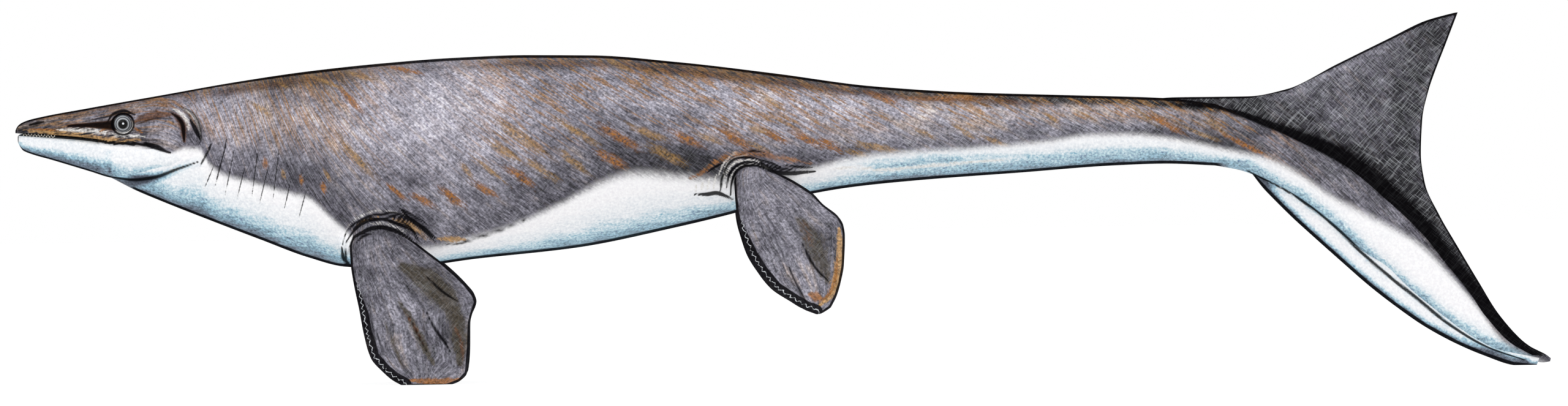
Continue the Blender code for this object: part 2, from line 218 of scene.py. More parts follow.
# %% The lines of the head, trunk and tail, in metres
BACK = [(0.0, 0.925), (0.012, 0.945), (0.04, 0.96), (0.085, 0.972), (0.26, 1.005), (0.53, 1.053),
        (0.80, 1.101), (1.07, 1.141), (1.34, 1.170), (1.60, 1.190), (1.87, 1.200), (2.10, 1.199),
        (2.41, 1.175), (2.77, 1.133), (3.12, 1.087), (3.48, 1.064), (3.84, 1.054), (4.20, 1.043),
        (4.38, 1.022)]
MOUTH = [(0.0, 0.912), (0.15, 0.902), (0.28, 0.890), (0.36, 0.877), (0.44, 0.874), (0.50, 0.873),
         (0.57, 0.847)]
THROAT = [(0.35, 0.752), (0.44, 0.706), (0.53, 0.668), (0.71, 0.597), (0.89, 0.528),
          (1.07, 0.461), (1.20, 0.428), (1.36, 0.420), (1.69, 0.458), (2.05, 0.498),
          (2.41, 0.572), (2.59, 0.615), (2.80, 0.672), (3.04, 0.717), (3.30, 0.744),
          (3.66, 0.771), (4.02, 0.798), (4.20, 0.804), (4.38, 0.797)]
HALF_WIDTH = [(0.0, 0.018), (0.012, 0.033), (0.04, 0.043), (0.085, 0.050), (0.17, 0.060),
              (0.26, 0.073), (0.35, 0.089), (0.44, 0.106), (0.53, 0.124), (0.61, 0.138),
              (0.68, 0.144), (0.74, 0.152), (0.89, 0.190), (1.07, 0.234), (1.34, 0.284), (1.60, 0.304),
              (2.05, 0.298), (2.40, 0.262), (2.77, 0.205), (3.03, 0.164), (3.30, 0.138),
              (3.66, 0.115), (4.02, 0.098), (4.38, 0.083)]
WIDEST = [(0.0, 0.30), (0.30, 0.22), (0.345, 0.62), (0.53, 0.56), (0.71, 0.50), (1.07, 0.45),
          (1.60, 0.43), (2.40, 0.45), (3.00, 0.50), (4.38, 0.50)]
SQUARENESS = [(0.0, 2.6), (0.04, 3.6), (0.30, 4.0), (0.40, 2.4), (0.60, 2.1), (4.38, 2.0)]
TAIL = [(4.38, 0.909, 0.112, 0.083), (4.50, 0.872, 0.098, 0.079), (4.64, 0.809, 0.092, 0.075),
        (4.77, 0.735, 0.103, 0.072), (4.95, 0.585, 0.105, 0.067), (5.06, 0.498, 0.094, 0.061),
        (5.14, 0.411, 0.087, 0.055), (5.24, 0.311, 0.074, 0.046), (5.33, 0.221, 0.056, 0.036),
        (5.42, 0.156, 0.043, 0.027), (5.51, 0.114, 0.028, 0.018), (5.58, 0.093, 0.015, 0.011),
        (5.60, 0.088, 0.006, 0.006)]
PALATE_END, THROAT_START, TRUNK_END = 0.30, 0.35, 4.38
JAW_TOP_GAP = 0.006
TAIL_TURNED, SLOPE_REACH = 2.0, 0.2

back, mouth, throat = smooth_line(BACK), smooth_line(MOUTH), smooth_line(THROAT)
half_width, widest, squareness = smooth_line(HALF_WIDTH), smooth_line(WIDEST), smooth_line(SQUARENESS)
tail_row = smooth_columns(TAIL)
print("deepest section:", round(float(back(1.5) - throat(1.5)), 3), "m")


# %% [markdown]
# ## The hide
#
# The skin of head, trunk and tail is one tube. It begins as a plain cylinder that is cut into
# rings, closer together on the head, where the small forms are. The head and the roots of the
# flippers are then cut finer still. Only after that does every vertex move to its place on the
# animal: it knows its ring from its height on the cylinder, and its angle from where it stands.

# %% A plain tube, and moving it into shape
def unit_tube(sides, rings):
    """A closed cylinder of radius 1 along Z from 0 to 1."""
    bm = bmesh.new()
    bmesh.ops.create_cone(bm, cap_ends=True, segments=sides, radius1=1, radius2=1, depth=1)
    bmesh.ops.translate(bm, verts=bm.verts, vec=(0, 0, 0.5))
    long_edges = [e for e in bm.edges if abs(e.verts[0].co.z - e.verts[1].co.z) > 0.5]
    bmesh.ops.subdivide_edges(bm, edges=long_edges, cuts=rings - 2)
    return bm


def refine(bm, shares, sines, cuts):
    """Cuts the edges of a tube finer inside a patch: a range along it, and a range of heights."""
    inside = {v for v in bm.verts if shares[0] < v.co.z < shares[1] and sines[0] < v.co.y < sines[1]}
    patch = [e for e in bm.edges if e.verts[0] in inside and e.verts[1] in inside]
    bmesh.ops.subdivide_edges(bm, edges=patch, cuts=cuts, use_grid_fill=True)


def mould(bm, place):
    """Moves the vertices of a unit tube to where place(share along, cosine, sine) puts them."""
    co = np.array([v.co for v in bm.verts])
    angle = np.arctan2(co[:, 1], co[:, 0])
    for vertex, spot in zip(bm.verts, np.column_stack(place(co[:, 2], np.cos(angle), np.sin(angle)))):
        vertex.co = spot


def squared(value, square):
    """A cosine or sine on a rounded square: 2 leaves it on a circle, and more goes nearer the square."""
    return np.sign(value) * np.abs(value) ** (2.0 / square)


def underside(x):
    """The palate under the snout, and the throat and belly behind it."""
    palate = mouth(x) + 0.5 * JAW_TOP_GAP
    share = np.clip((x - PALATE_END) / (THROAT_START - PALATE_END), 0, 1)
    return palate + (throat(np.maximum(x, THROAT_START)) - palate) * share


# %% The shape of the hide
HIDE_SIDES, HIDE_RINGS = 96, 420
STATIONS = [  # a share of the tube's length, and the x there
    (0.0, 0.0), (0.27, 0.72), (0.36, 1.10), (0.68, 3.20), (0.80, TRUNK_END),
    (1.0, TRUNK_END + len(TAIL) - 1),
]
HEAD_END, HEAD_CUTS = 0.72, 1
NOSE_CAP, ALL_ROUND = 0.0001, (-2, 2)  # the flat cap at the nose isn't cut, and no sine is left out
PATCHES = [  # where else the tube is cut finer: a range of x, a range of sines, and the cuts
    ((0.73, 1.08), (-0.55, 0.35), 1),
    ((1.15, 1.66), (-0.94, -0.20), 2),
    ((2.44, 2.93), (-0.96, -0.12), 2),
]
ROUND = 2.0
station_shares, station_places = zip(*STATIONS)


def share_at(x):
    return float(np.interp(x, station_places, station_shares))


def hide_place(share, c, s):
    """Where the hide goes. Past the trunk a station counts the rows of TAIL."""
    station = np.interp(share, station_shares, station_places)
    x = np.minimum(station, TRUNK_END)
    row = np.clip(station - TRUNK_END, 0, len(TAIL) - 1)
    on_tail = station > TRUNK_END
    top, low = back(x), underside(x)
    middle = low + (top - low) * widest(x)
    tail_x, tail_z, tail_high, tail_wide = tail_row(row)
    before, after = tail_row(np.maximum(row - SLOPE_REACH, 0)), tail_row(row + SLOPE_REACH)
    lean = np.arctan2(before[1] - after[1], after[0] - before[0]) * np.minimum(row / TAIL_TURNED, 1)
    lean = np.where(on_tail, lean, 0)
    square = np.where(on_tail | (s >= 0), ROUND, squareness(x))
    up = np.where(on_tail, tail_high, top - middle)
    down = np.where(on_tail, tail_high, middle - low)
    out = np.where(on_tail, tail_wide, half_width(x))
    rise = squared(s, square) * np.where(s >= 0, up, down)
    base_x, base_z = np.where(on_tail, tail_x, x), np.where(on_tail, tail_z, middle)
    return base_x + rise * np.sin(lean), squared(c, square) * out, base_z + rise * np.cos(lean)


hide = unit_tube(HIDE_SIDES, HIDE_RINGS)
refine(hide, (NOSE_CAP, share_at(HEAD_END)), ALL_ROUND, HEAD_CUTS)
for (near, far), sines, cuts in PATCHES:
    refine(hide, (share_at(near), share_at(far)), sines, cuts)
mould(hide, hide_place)
print("hide:", len(hide.verts), "vertices")


# %% [markdown]
# ## Strokes and folds
#
# Skin over muscle is never as even as a tube. The brow, the lids, the nostril, the pocket of
# the jaw muscle, the ear, the folds of the neck and the rolls where the flippers join are all
# raised or sunk along the skin's own normal, by an amount that depends on how near a point is
# to a line in the side view. The same lines later carry dark strokes of painted shade, so each
# painted crease shadow lies in its own groove.

# %% Measuring how near a point is to a line
FAR_WIDTHS = 4  # a stroke covers nothing that is this many widths away
TAPER, TIP_WIDTH = 0.35, 0.35  # how much of a stroke each taper takes, and how wide its tips are


def fade(value, start, end):
    """0 at start, 1 at end, and smooth between. start may be the larger."""
    t = np.clip((value - start) / (end - start), 0, 1)
    return t * t * (3 - 2 * t)


def ridge(distance, width):
    """1 on a line, and fading to nothing two widths away."""
    return np.exp(-((distance / width) ** 2))


def nearest(x, z, points):
    """Distance from each x, z to a line through the points, how far along it that is, and its length."""
    best, along, walked = np.full(len(x), np.inf), np.zeros(len(x)), 0.0
    for (x0, z0), (x1, z1) in zip(points[:-1], points[1:]):
        length = np.hypot(x1 - x0, z1 - z0)
        t = np.clip(((x - x0) * (x1 - x0) + (z - z0) * (z1 - z0)) / length**2, 0, 1)
        distance = np.hypot(x - x0 - t * (x1 - x0), z - z0 - t * (z1 - z0))
        closer = distance < best
        best, along = np.where(closer, distance, best), np.where(closer, walked + t * length, along)
        walked += length
    return best, along, walked


def rounded_path(points, steps=6):
    """A few points made into a smooth path, so that a stroke along it has no corners."""
    path = smooth_columns(points)
    return list(zip(*path(np.linspace(0, len(points) - 1, steps * (len(points) - 1) + 1))))


def stroke(x, z, points, width, strength=1.0):
    """How strongly a pencil stroke along the points covers each place. Its two ends taper."""
    first, last = min(p[0] for p in points), max(p[0] for p in points)
    near = (x > first - FAR_WIDTHS * width) & (x < last + FAR_WIDTHS * width)
    path = rounded_path(points) if len(points) > 2 else points
    distance, along, length = nearest(x[near], z[near], path)
    taper = np.clip(np.minimum(along, length - along) / (TAPER * length), 0, 1)
    covered = np.zeros(len(x))
    covered[near] = strength * ridge(distance, width * (TIP_WIDTH + (1 - TIP_WIDTH) * taper))
    return covered


def halfway(one, other):
    """The path that runs midway between two others."""
    return [((ax + bx) / 2, (az + bz) / 2) for (ax, az), (bx, bz) in zip(one, other)]


# %% Lines of the head, in the side view
EYE = Vector((0.394, 0, 0.9475))
EYE_RADIUS, EYE_PROUD = 0.038, 0.007
LID_LINE, LID_STRETCH = 0.0372, 1.12
NOSTRIL = [(0.050, 0.944), (0.078, 0.951), (0.105, 0.957)]
WEDGE = [(0.192, 0.939), (0.278, 0.943), (0.352, 0.950)]
LID_SHADOW = [(0.338, 0.957), (0.358, 0.984), (0.398, 0.996), (0.436, 0.982)]
WEDGE_NARROW, WEDGE_WIDE = 0.004, 0.026
BROW = [(0.270, 0.961), (0.330, 0.974), (0.391, 0.988), (0.440, 0.982)]
TEMPLE = [(0.436, 0.955), (0.475, 0.972), (0.530, 0.984), (0.572, 0.984)]
TEMPLE_EDGE = [(0.440, 0.944), (0.475, 0.958), (0.530, 0.970), (0.575, 0.966)]
POCKET = [(0.572, 0.988), (0.598, 0.968), (0.613, 0.940), (0.618, 0.885)]
EAR = [(0.640, 0.962), (0.654, 0.938), (0.676, 0.893)]
COLLAR_FRONT = [(0.586, 1.006), (0.616, 0.985), (0.636, 0.950), (0.643, 0.890)]
COLLAR_REAR = [(0.607, 1.012), (0.650, 0.985), (0.674, 0.940), (0.680, 0.895), (0.668, 0.869)]
COLLAR_INSIDE = [(0.612, 1.006), (0.646, 0.984), (0.672, 0.940), (0.680, 0.890)]
COLLAR_PALE = [(0.578, 1.002), (0.604, 0.986), (0.626, 0.958), (0.634, 0.925)]
COLLAR_DARK = [(0.598, 1.009), (0.624, 0.990), (0.640, 0.966), (0.654, 0.938)]
JAW_EDGE = [(0.333, 0.757), (0.435, 0.745), (0.513, 0.755), (0.591, 0.783), (0.674, 0.812)]
MOUTH_HOOKS = [[(0.466, 0.876), (0.505, 0.865), (0.568, 0.843)],
               [(0.482, 0.872), (0.512, 0.856), (0.533, 0.839)]]
NECK_SLITS = [[(0.717, 0.878), (0.700, 0.833), (0.679, 0.800)],
              [(0.774, 0.904), (0.762, 0.830), (0.731, 0.724)]]
THROAT_FOLDS = [[(0.728, 0.800), (0.693, 0.718)], [(0.800, 0.850), (0.768, 0.695)],
                [(0.842, 0.800), (0.812, 0.682)], [(0.888, 0.860), (0.866, 0.690)],
                [(0.925, 0.790), (0.893, 0.660)], [(0.965, 0.860), (0.943, 0.680)],
                [(1.007, 0.740), (0.983, 0.638)], [(1.062, 0.700), (1.038, 0.612)]]

# %% Lines round the flippers' roots, the belly and the tail
SHOULDER = {"centre": (1.335, 0.520), "out": 0.190, "radii": (0.155, 0.075, 0.090)}
HIP = {"centre": (2.730, 0.775), "out": 0.150, "radii": (0.160, 0.062, 0.085)}
FORE_FOLDS = [
    [(1.197, 0.509), (1.203, 0.540), (1.222, 0.570), (1.261, 0.598), (1.320, 0.618), (1.378, 0.613),
     (1.431, 0.600), (1.478, 0.570), (1.524, 0.533)],
    [(1.206, 0.511), (1.222, 0.540), (1.255, 0.575), (1.294, 0.597), (1.339, 0.602), (1.378, 0.591),
     (1.414, 0.577), (1.447, 0.560), (1.476, 0.522)],
    [(1.222, 0.500), (1.237, 0.534), (1.268, 0.553), (1.299, 0.567), (1.334, 0.572), (1.370, 0.565),
     (1.400, 0.553), (1.431, 0.534), (1.460, 0.512)],
]
FORE_CUFF = [(1.193, 0.500), (1.196, 0.465), (1.213, 0.438), (1.226, 0.418)]
FORE_CREASE = [(1.409, 0.637), (1.440, 0.603), (1.490, 0.570), (1.533, 0.533)]
FORE_STRIP = [(1.537, 0.530), (1.590, 0.528), (1.645, 0.527)]
FORE_STRIP_EDGE = [(1.560, 0.510), (1.608, 0.511), (1.665, 0.528), (1.780, 0.566), (1.870, 0.606)]
FORE_HATCH = [
    [(1.340, 0.628), (1.395, 0.622), (1.450, 0.596)], [(1.378, 0.606), (1.420, 0.588), (1.462, 0.552)],
    [(1.395, 0.645), (1.440, 0.622), (1.500, 0.585)], [(1.420, 0.618), (1.465, 0.590), (1.512, 0.545)],
    [(1.448, 0.590), (1.490, 0.560), (1.535, 0.515)], [(1.230, 0.560), (1.262, 0.588), (1.310, 0.608)],
    [(1.208, 0.500), (1.206, 0.455), (1.222, 0.428)], [(1.245, 0.515), (1.270, 0.538), (1.310, 0.552)],
]
HIND_HATCH = [
    [(2.600, 0.842), (2.660, 0.850), (2.730, 0.846)], [(2.700, 0.820), (2.745, 0.808), (2.790, 0.792)],
    [(2.735, 0.800), (2.780, 0.786), (2.840, 0.782)], [(2.570, 0.700), (2.572, 0.740), (2.585, 0.775)],
    [(2.520, 0.770), (2.550, 0.792), (2.580, 0.806)], [(2.800, 0.800), (2.850, 0.792), (2.905, 0.790)],
]
HIND_TICKS = [
    [(2.560, 0.755), (2.578, 0.800), (2.612, 0.834), (2.660, 0.850)], [(2.478, 0.698), (2.482, 0.730)],
    [(2.577, 0.745), (2.590, 0.795), (2.622, 0.824), (2.670, 0.836)], [(2.498, 0.702), (2.506, 0.742)],
    [(2.520, 0.706), (2.530, 0.754)], [(2.542, 0.710), (2.553, 0.764)],
]
HIND_FOLDS = [
    [(2.584, 0.730), (2.582, 0.764), (2.592, 0.794), (2.616, 0.818), (2.641, 0.825), (2.671, 0.826),
     (2.701, 0.821), (2.723, 0.804), (2.744, 0.786)],
    [(2.592, 0.709), (2.596, 0.747), (2.611, 0.780), (2.633, 0.798), (2.658, 0.808), (2.684, 0.809),
     (2.710, 0.802), (2.729, 0.791), (2.750, 0.779)],
    [(2.605, 0.687), (2.609, 0.730), (2.620, 0.764), (2.637, 0.785), (2.663, 0.796), (2.693, 0.797),
     (2.718, 0.790), (2.740, 0.779), (2.757, 0.770)],
]
HIND_RUST = [(2.458, 0.752), (2.487, 0.762), (2.526, 0.790), (2.556, 0.811), (2.590, 0.826), (2.629, 0.836),
             (2.701, 0.838), (2.744, 0.833), (2.808, 0.820), (2.872, 0.809), (2.898, 0.802)]
HIND_CREASE = [(2.716, 0.809), (2.744, 0.786), (2.782, 0.770), (2.830, 0.768), (2.872, 0.772), (2.915, 0.775)]
BELLY_CREASE = [(2.475, 0.692), (2.517, 0.692), (2.552, 0.697), (2.586, 0.687), (2.614, 0.674)]
TAIL_FOLD = [(2.935, 0.776), (3.055, 0.789), (3.166, 0.780), (3.251, 0.789), (3.508, 0.810), (3.645, 0.823)]
FIN_CREASE = [(3.650, 1.049), (3.850, 1.041), (4.063, 1.019), (4.277, 1.010), (4.366, 1.008), (4.458, 0.981),
              (4.594, 0.927), (4.731, 0.863), (4.878, 0.780), (5.023, 0.661), (5.124, 0.561), (5.233, 0.425),
              (5.352, 0.279), (5.470, 0.165), (5.560, 0.112)]
KEEL_CREASE = [(4.485, 0.782), (4.659, 0.691), (4.804, 0.581), (4.950, 0.442), (5.097, 0.324), (5.233, 0.215),
               (5.370, 0.134), (5.506, 0.087)]
fin_crease, tail_fold = smooth_line(FIN_CREASE), smooth_line(TAIL_FOLD)
jaw_shadow = smooth_line(JAW_EDGE)


# %% What is raised and what is sunk
FOLD_LIFT = 0.008
BROW_RIDGE = [(px, pz + FOLD_LIFT) for px, pz in BROW]
COLLAR_ROLL = halfway(COLLAR_FRONT, COLLAR_REAR[:4])
HEAD_RELIEF = [  # stroke, its width, and how far it stands out, or sinks in if negative
    (BROW_RIDGE, 0.012, 0.006), (NOSTRIL, 0.006, -0.007), (WEDGE, 0.012, -0.006),
    (COLLAR_ROLL, 0.013, 0.008), (EAR, 0.008, -0.008), (POCKET, 0.006, -0.006),
    (COLLAR_REAR, 0.006, -0.004), (MOUTH_HOOKS[0], 0.008, -0.007),
]
NECK_RELIEF = [(NECK_SLITS[0], 0.008, -0.009), (NECK_SLITS[1], 0.008, -0.008)]
NECK_RELIEF += [(fold, 0.010, -0.005) for fold in THROAT_FOLDS]
ROOT_CREASES = (FORE_CREASE, FORE_STRIP_EDGE, HIND_CREASE, BELLY_CREASE)
ROOT_RELIEF = [(crease, 0.009, -0.007) for crease in ROOT_CREASES]
for folds in (FORE_FOLDS, HIND_FOLDS):
    ROOT_RELIEF += [(halfway(one, other), 0.010, 0.010) for one, other in zip(folds[:-1], folds[1:])]
    ROOT_RELIEF += [(folds[0], 0.006, -0.006)]
LID_ROLL = {"away": 0.035, "width": 0.0055, "proud": 0.007}
SOCKET_RIM, SOCKET_DEPTH = (0.033, 0.026), 0.022
CHEEK_MIDDLE, CHEEK_REACH, CHEEK_DEPTH = [(0.49, 0.925), (0.58, 0.925)], (0.052, 0.020), 0.007
LIP_ROLL = {"above": 0.016, "width": 0.009, "proud": 0.003, "ends": (0.58, 0.50)}
HEAD_FADES = (0.78, 0.70)
print("strokes in relief:", len(HEAD_RELIEF + NECK_RELIEF + ROOT_RELIEF))


# %% Raising and sinking the hide
def from_eye(x, z):
    """Distance from the middle of the eye, on an oval that is as wide as the lids."""
    return np.hypot((x - EYE.x) / LID_STRETCH, z - EYE.z)


def relief(x, z, table):
    """How far each place is raised by all the strokes of a table."""
    rise = np.zeros(len(x))
    for line, width, proud in table:
        rise += proud * stroke(x, z, line, width)
    return rise


def head_relief(x, z):
    lid = from_eye(x, z)
    rise = LID_ROLL["proud"] * ridge(lid - LID_ROLL["away"], LID_ROLL["width"])
    rise -= SOCKET_DEPTH * fade(lid, *SOCKET_RIM)
    rise -= CHEEK_DEPTH * fade(nearest(x, z, CHEEK_MIDDLE)[0], *CHEEK_REACH)
    lip = ridge(z - mouth(x) - LIP_ROLL["above"], LIP_ROLL["width"]) * fade(x, *LIP_ROLL["ends"])
    rise += LIP_ROLL["proud"] * lip + relief(x, z, HEAD_RELIEF)
    return rise * fade(x, *HEAD_FADES)


def mound_height(at, normals, spec):
    """How far each point has to go along its normal to reach the surface of a mound of muscle."""
    (cx, cz), out, radii = spec["centre"], spec["out"], np.array(spec["radii"])
    centre = np.column_stack([np.full(len(at), cx), out * np.sign(at[:, 1]), np.full(len(at), cz)])
    here, way = (at - centre) / radii, normals / radii
    a, b, c = (way * way).sum(1), (here * way).sum(1), (here * here).sum(1) - 1
    reach = (np.sqrt(np.maximum(b * b - a * c, 0)) - b) / a
    return np.where(c < 0, reach, 0)


hide.normal_update()
at = np.array([v.co for v in hide.verts])
normals = np.array([v.normal for v in hide.verts])
x, y, z = at.T
rise = head_relief(x, z) + relief(x, z, NECK_RELIEF + ROOT_RELIEF)
for spec in (SHOULDER, HIP):
    rise += mound_height(at, normals, spec)
for vertex, spot in zip(hide.verts, at + normals * rise[:, None]):
    vertex.co = spot
print("relief from", round(rise.min() * 1000, 1), "to", round(rise.max() * 1000, 1), "mm")


# %% [markdown]
# ## What the colours follow
#
# The colours aren't painted in a picture. Each vertex carries a few numbers instead, such as
# how light the slate is there, how far the point is above the line between slate and white, or
# how close it is to a crease. The material turns those smooth numbers into crisp or ragged
# edges with noise, so the edges stay sharp even where the vertices are far apart.

# %% The line between slate and white, and how the markings flow
SHADE_LINE = [(0.0, 0.906), (0.15, 0.896), (0.28, 0.884), (0.36, 0.871), (0.45, 0.866), (0.51, 0.852),
              (0.57, 0.843), (0.62, 0.858), (0.675, 0.855),
              (0.71, 0.800), (0.766, 0.762), (0.867, 0.735), (0.994, 0.697), (1.073, 0.677),
              (1.131, 0.628), (1.180, 0.583), (1.30, 0.500), (1.50, 0.498), (1.649, 0.530),
              (1.783, 0.568), (1.873, 0.604), (2.00, 0.663), (2.127, 0.728), (2.257, 0.766),
              (2.40, 0.757), (2.62, 0.740), (2.92, 0.790), (3.03, 0.820), (3.20, 0.842),
              (3.48, 0.860), (3.75, 0.883), (3.93, 0.907), (4.06, 0.909), (4.23, 0.892),
              (4.40, 0.858), (4.57, 0.818), (4.68, 0.764), (4.80, 0.681), (4.96, 0.599),
              (5.12, 0.507), (5.23, 0.398), (5.325, 0.288), (5.43, 0.152), (5.60, 0.06)]
FLOW = [  # how steeply markings fall towards the tail, in degrees
    (0.0, -11), (0.45, -8), (0.60, 30), (0.68, 64), (0.90, 70), (1.10, 58), (1.40, 44), (1.80, 36),
    (2.50, 30), (3.50, 27), (4.40, 32), (5.0, 48), (5.6, 48),
]
FLOW_FROM, FLOW_TO, FLOW_STEPS = -0.1, 5.7, 581
shade_line = smooth_line(SHADE_LINE)
flow_x = np.linspace(FLOW_FROM, FLOW_TO, FLOW_STEPS)
flow_fall = np.cumsum(np.tan(np.radians(smooth_line(FLOW)(flow_x)))) * (flow_x[1] - flow_x[0])


def flow_height(x, z):
    """The same number all along a streak, so that a pattern stretched along x follows the streaks."""
    return z + np.interp(x, flow_x, flow_fall)


# %% Keeping numbers on a mesh, and finishing a piece
def points_of(bm):
    return np.array([v.co for v in bm.verts]).T


def finish_piece(bm, name, skin, fields, nodes):
    """Stands a shape of the side view on the ground, and puts it in place of its solids."""
    bmesh.ops.recalc_face_normals(bm, faces=bm.faces)
    bmesh.ops.transform(bm, matrix=stance, verts=bm.verts)
    for vertex in bm.verts:  # the soft edges are pressed flat by the ground
        vertex.co = [min(max(v, lo), hi) for v, lo, hi in zip(vertex.co, *cad_box)]
    mesh = bpy.data.meshes.new(name)
    bm.to_mesh(mesh)
    bm.free()
    mesh.shade_smooth()
    for field, values in fields.items():
        kind, key = ("FLOAT", "value") if values.ndim == 1 else ("FLOAT_VECTOR", "vector")
        mesh.attributes.new(field, kind, "POINT").data.foreach_set(key, values.astype(np.float32).ravel())
    made = bpy.data.objects.new(name, mesh)
    bpy.context.scene.collection.objects.link(made)
    mesh.materials.append(skin)
    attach(made, "root")
    if nodes:
        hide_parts(*nodes)
    print(f"{name}: {sum(len(p.vertices) - 2 for p in mesh.polygons)} triangles")
    return made


# %% [markdown]
# ## Skin as a material
#
# Living skin in water is smooth and a little moist: light enters it, so its edges are soft and
# its gloss is broad and weak, with the index of refraction of water-filled tissue, about 1.4.
# One recipe serves all of it. The slate comes from a cool and a warm scale of greys, broken up
# by mottling and by strokes that follow the flow of the markings. Rust streaks and dashes lie
# over it, then the white below the line with painted shade towards the keel, the painted places,
# pale hatching painted as highlights where scales catch the light, and the dark creases of
# painted shade last.

# %% The colours of the skin, from dark to light
COOL = ["201f23", "4d4b54", "7c7a85", "a7a4b0", "d3d0db"]
WARM = ["221b16", "57493c", "8b7762", "b59c80", "dfccb2"]
# The white below the shade line goes cyan and then grey towards the keel: painted shade of the underside.
BELLY = [(0.18, "f2f1f3"), (0.52, "e4e8ec"), (0.70, "b6ced9"), (0.82, "88a8b9"), (0.92, "6c7a89"),
         (1.0, "474e5a")]
RUST, OCHRE = "8c5a26", "93713f"
OLIVE, CREAM, TAN, UMBER, BLACK, CHALK = "3b3323", "dfdcd8", "b08a5a", "5a3b28", "09080a", "e9edf2"

# %% The dashes: x, z, length, fall in degrees, and width, in the side view
BOLD_DASHES = [
    (0.914, 0.805, 0.033, 83, 0.012), (1.046, 0.744, 0.030, 80, 0.009), (1.127, 0.716, 0.033, 81, 0.013),
    (1.228, 1.031, 0.097, 45, 0.015), (1.394, 0.700, 0.076, 38, 0.012), (1.416, 1.146, 0.105, 12, 0.010),
    (1.490, 0.670, 0.075, 31, 0.017), (1.596, 0.680, 0.087, 36, 0.019), (1.716, 0.708, 0.085, 29, 0.017),
    (1.841, 0.757, 0.089, 35, 0.019), (2.175, 0.817, 0.092, 28, 0.021), (2.200, 0.900, 0.125, 31, 0.021),
    (2.444, 0.894, 0.099, 25, 0.019), (2.623, 0.893, 0.109, 31, 0.019), (2.772, 0.900, 0.076, 27, 0.014),
    (2.888, 0.890, 0.104, 25, 0.017), (2.971, 0.871, 0.064, 29, 0.019), (3.162, 1.043, 0.102, 22, 0.014),
    (3.384, 1.041, 0.248, 0, 0.012), (4.189, 0.950, 0.128, 30, 0.014), (4.492, 0.866, 0.191, 27, 0.012),
]
SOFT_DASHES = [
    (0.898, 1.002, 0.082, 34, 0.013), (0.976, 1.090, 0.039, 27, 0.008), (0.981, 0.765, 0.028, 77, 0.010),
    (1.135, 1.100, 0.117, 22, 0.010), (1.140, 0.759, 0.044, 60, 0.009), (1.245, 0.826, 0.158, 49, 0.019),
    (1.262, 1.121, 0.089, 17, 0.012), (1.647, 0.779, 0.055, 51, 0.012), (1.732, 0.779, 0.122, 39, 0.010),
    (1.786, 0.847, 0.108, 34, 0.017), (1.845, 0.896, 0.172, 35, 0.021), (1.918, 0.781, 0.117, 33, 0.017),
    (2.031, 0.813, 0.110, 39, 0.017), (2.046, 0.918, 0.155, 32, 0.017), (2.194, 1.165, 0.075, 25, 0.012),
    (2.303, 0.915, 0.115, 22, 0.017), (2.373, 0.834, 0.115, 27, 0.022), (2.531, 0.893, 0.079, 22, 0.014),
    (2.704, 0.866, 0.073, 21, 0.012), (2.708, 0.925, 0.062, 16, 0.014), (2.755, 1.032, 0.086, 37, 0.012),
    (3.067, 0.839, 0.078, 11, 0.015), (3.136, 0.863, 0.148, 11, 0.017), (3.311, 0.915, 0.075, 24, 0.012),
    (3.457, 0.921, 0.086, 37, 0.014), (3.568, 0.885, 0.110, 21, 0.012), (3.778, 0.969, 0.055, 39, 0.009),
    (4.107, 0.984, 0.107, 37, 0.010), (4.317, 0.914, 0.119, 21, 0.010), (4.377, 0.939, 0.098, 38, 0.012),
]
DASH_LAYERS = [(SOFT_DASHES, OCHRE, 0.75), (BOLD_DASHES, RUST, 0.95)]  # how strongly each layer covers
THROAT_LINE, SLIT_WIDTHS = 0.0042, (0.008, 0.0055)
THIN_LINES = [(*fold, THROAT_LINE) for fold in THROAT_FOLDS]
for slit, width in zip(NECK_SLITS, SLIT_WIDTHS):
    THIN_LINES += [(slit[0], slit[1], width), (halfway(slit[:1], slit[1:2])[0], slit[2], width)]
print("dashes:", len(BOLD_DASHES) + len(SOFT_DASHES), "thin lines:", len(THIN_LINES))

# %% [markdown]
# ## Noise as pencil work
#
# Each noise stands for one kind of mark: blotches as wide as a hand, mottling, strokes and
# hairs along the flow, and a grain of nine millimetres. Real skin grain is far finer. This
# one is drawn as coarse as it needs to be to show when the whole animal is in the picture.

# %% The noises, and what each is for
NOISES = {  # the vector, the features to the metre along, out and across, and the detail
    "blotch": ("side", (2.2, 2.2, 3.0), 4.0), "mottle": ("side", (11, 11, 13), 5.0),
    "grain": ("side", (112, 112, 112), 4.0), "streaks": ("flow", (4.5, 5.0, 42), 4.0),
    "rusts": ("flow", (9, 9, 105), 3.0), "strokes": ("flow", (12, 12, 95), 3.0),
    "hairs": ("flow", (36, 36, 190), 2.0), "long": ("side", (3.5, 14, 85), 3.0),
}
NOISE_ROUGHNESS = 0.6
# The pale hatching is painted highlight on the rims of the scales: its slants, scale and where it starts.
HIGHLIGHT_HATCH_SLANTS = {"highlight_hatch_down": 38, "highlight_hatch_up": -48}  # in degrees, down towards the tail
HIGHLIGHT_HATCH_SCALE, HIGHLIGHT_HATCH_DETAIL, HIGHLIGHT_HATCH_ROUGHNESS = (20, 25, 520), 0.8, 0.4
SPOT_ACROSS = 10.0  # in metres: a spot of colour goes right through the animal
HIGHLIGHT_HATCH_START = {"highlight_hatch_up": (0.56, 0.68), "highlight_hatch_down": (0.58, 0.70)}  # faint here, and full there
TONE_SHARES = {"blotch": 0.5, "mottle": 0.8, "strokes": 0.5, "hairs": 0.9}
WARM_SHARES = {"streaks": 2.2, "mottle": 1.2}
WARM_RANGE = (1.85, 2.7)
RUST_BLOTCH, RUST_RANGE, RUST_COVER = 0.45, (0.728, 0.79), 0.85
RUST_BREAKS, RUST_FAINTEST = (0.36, 0.56), 0.15
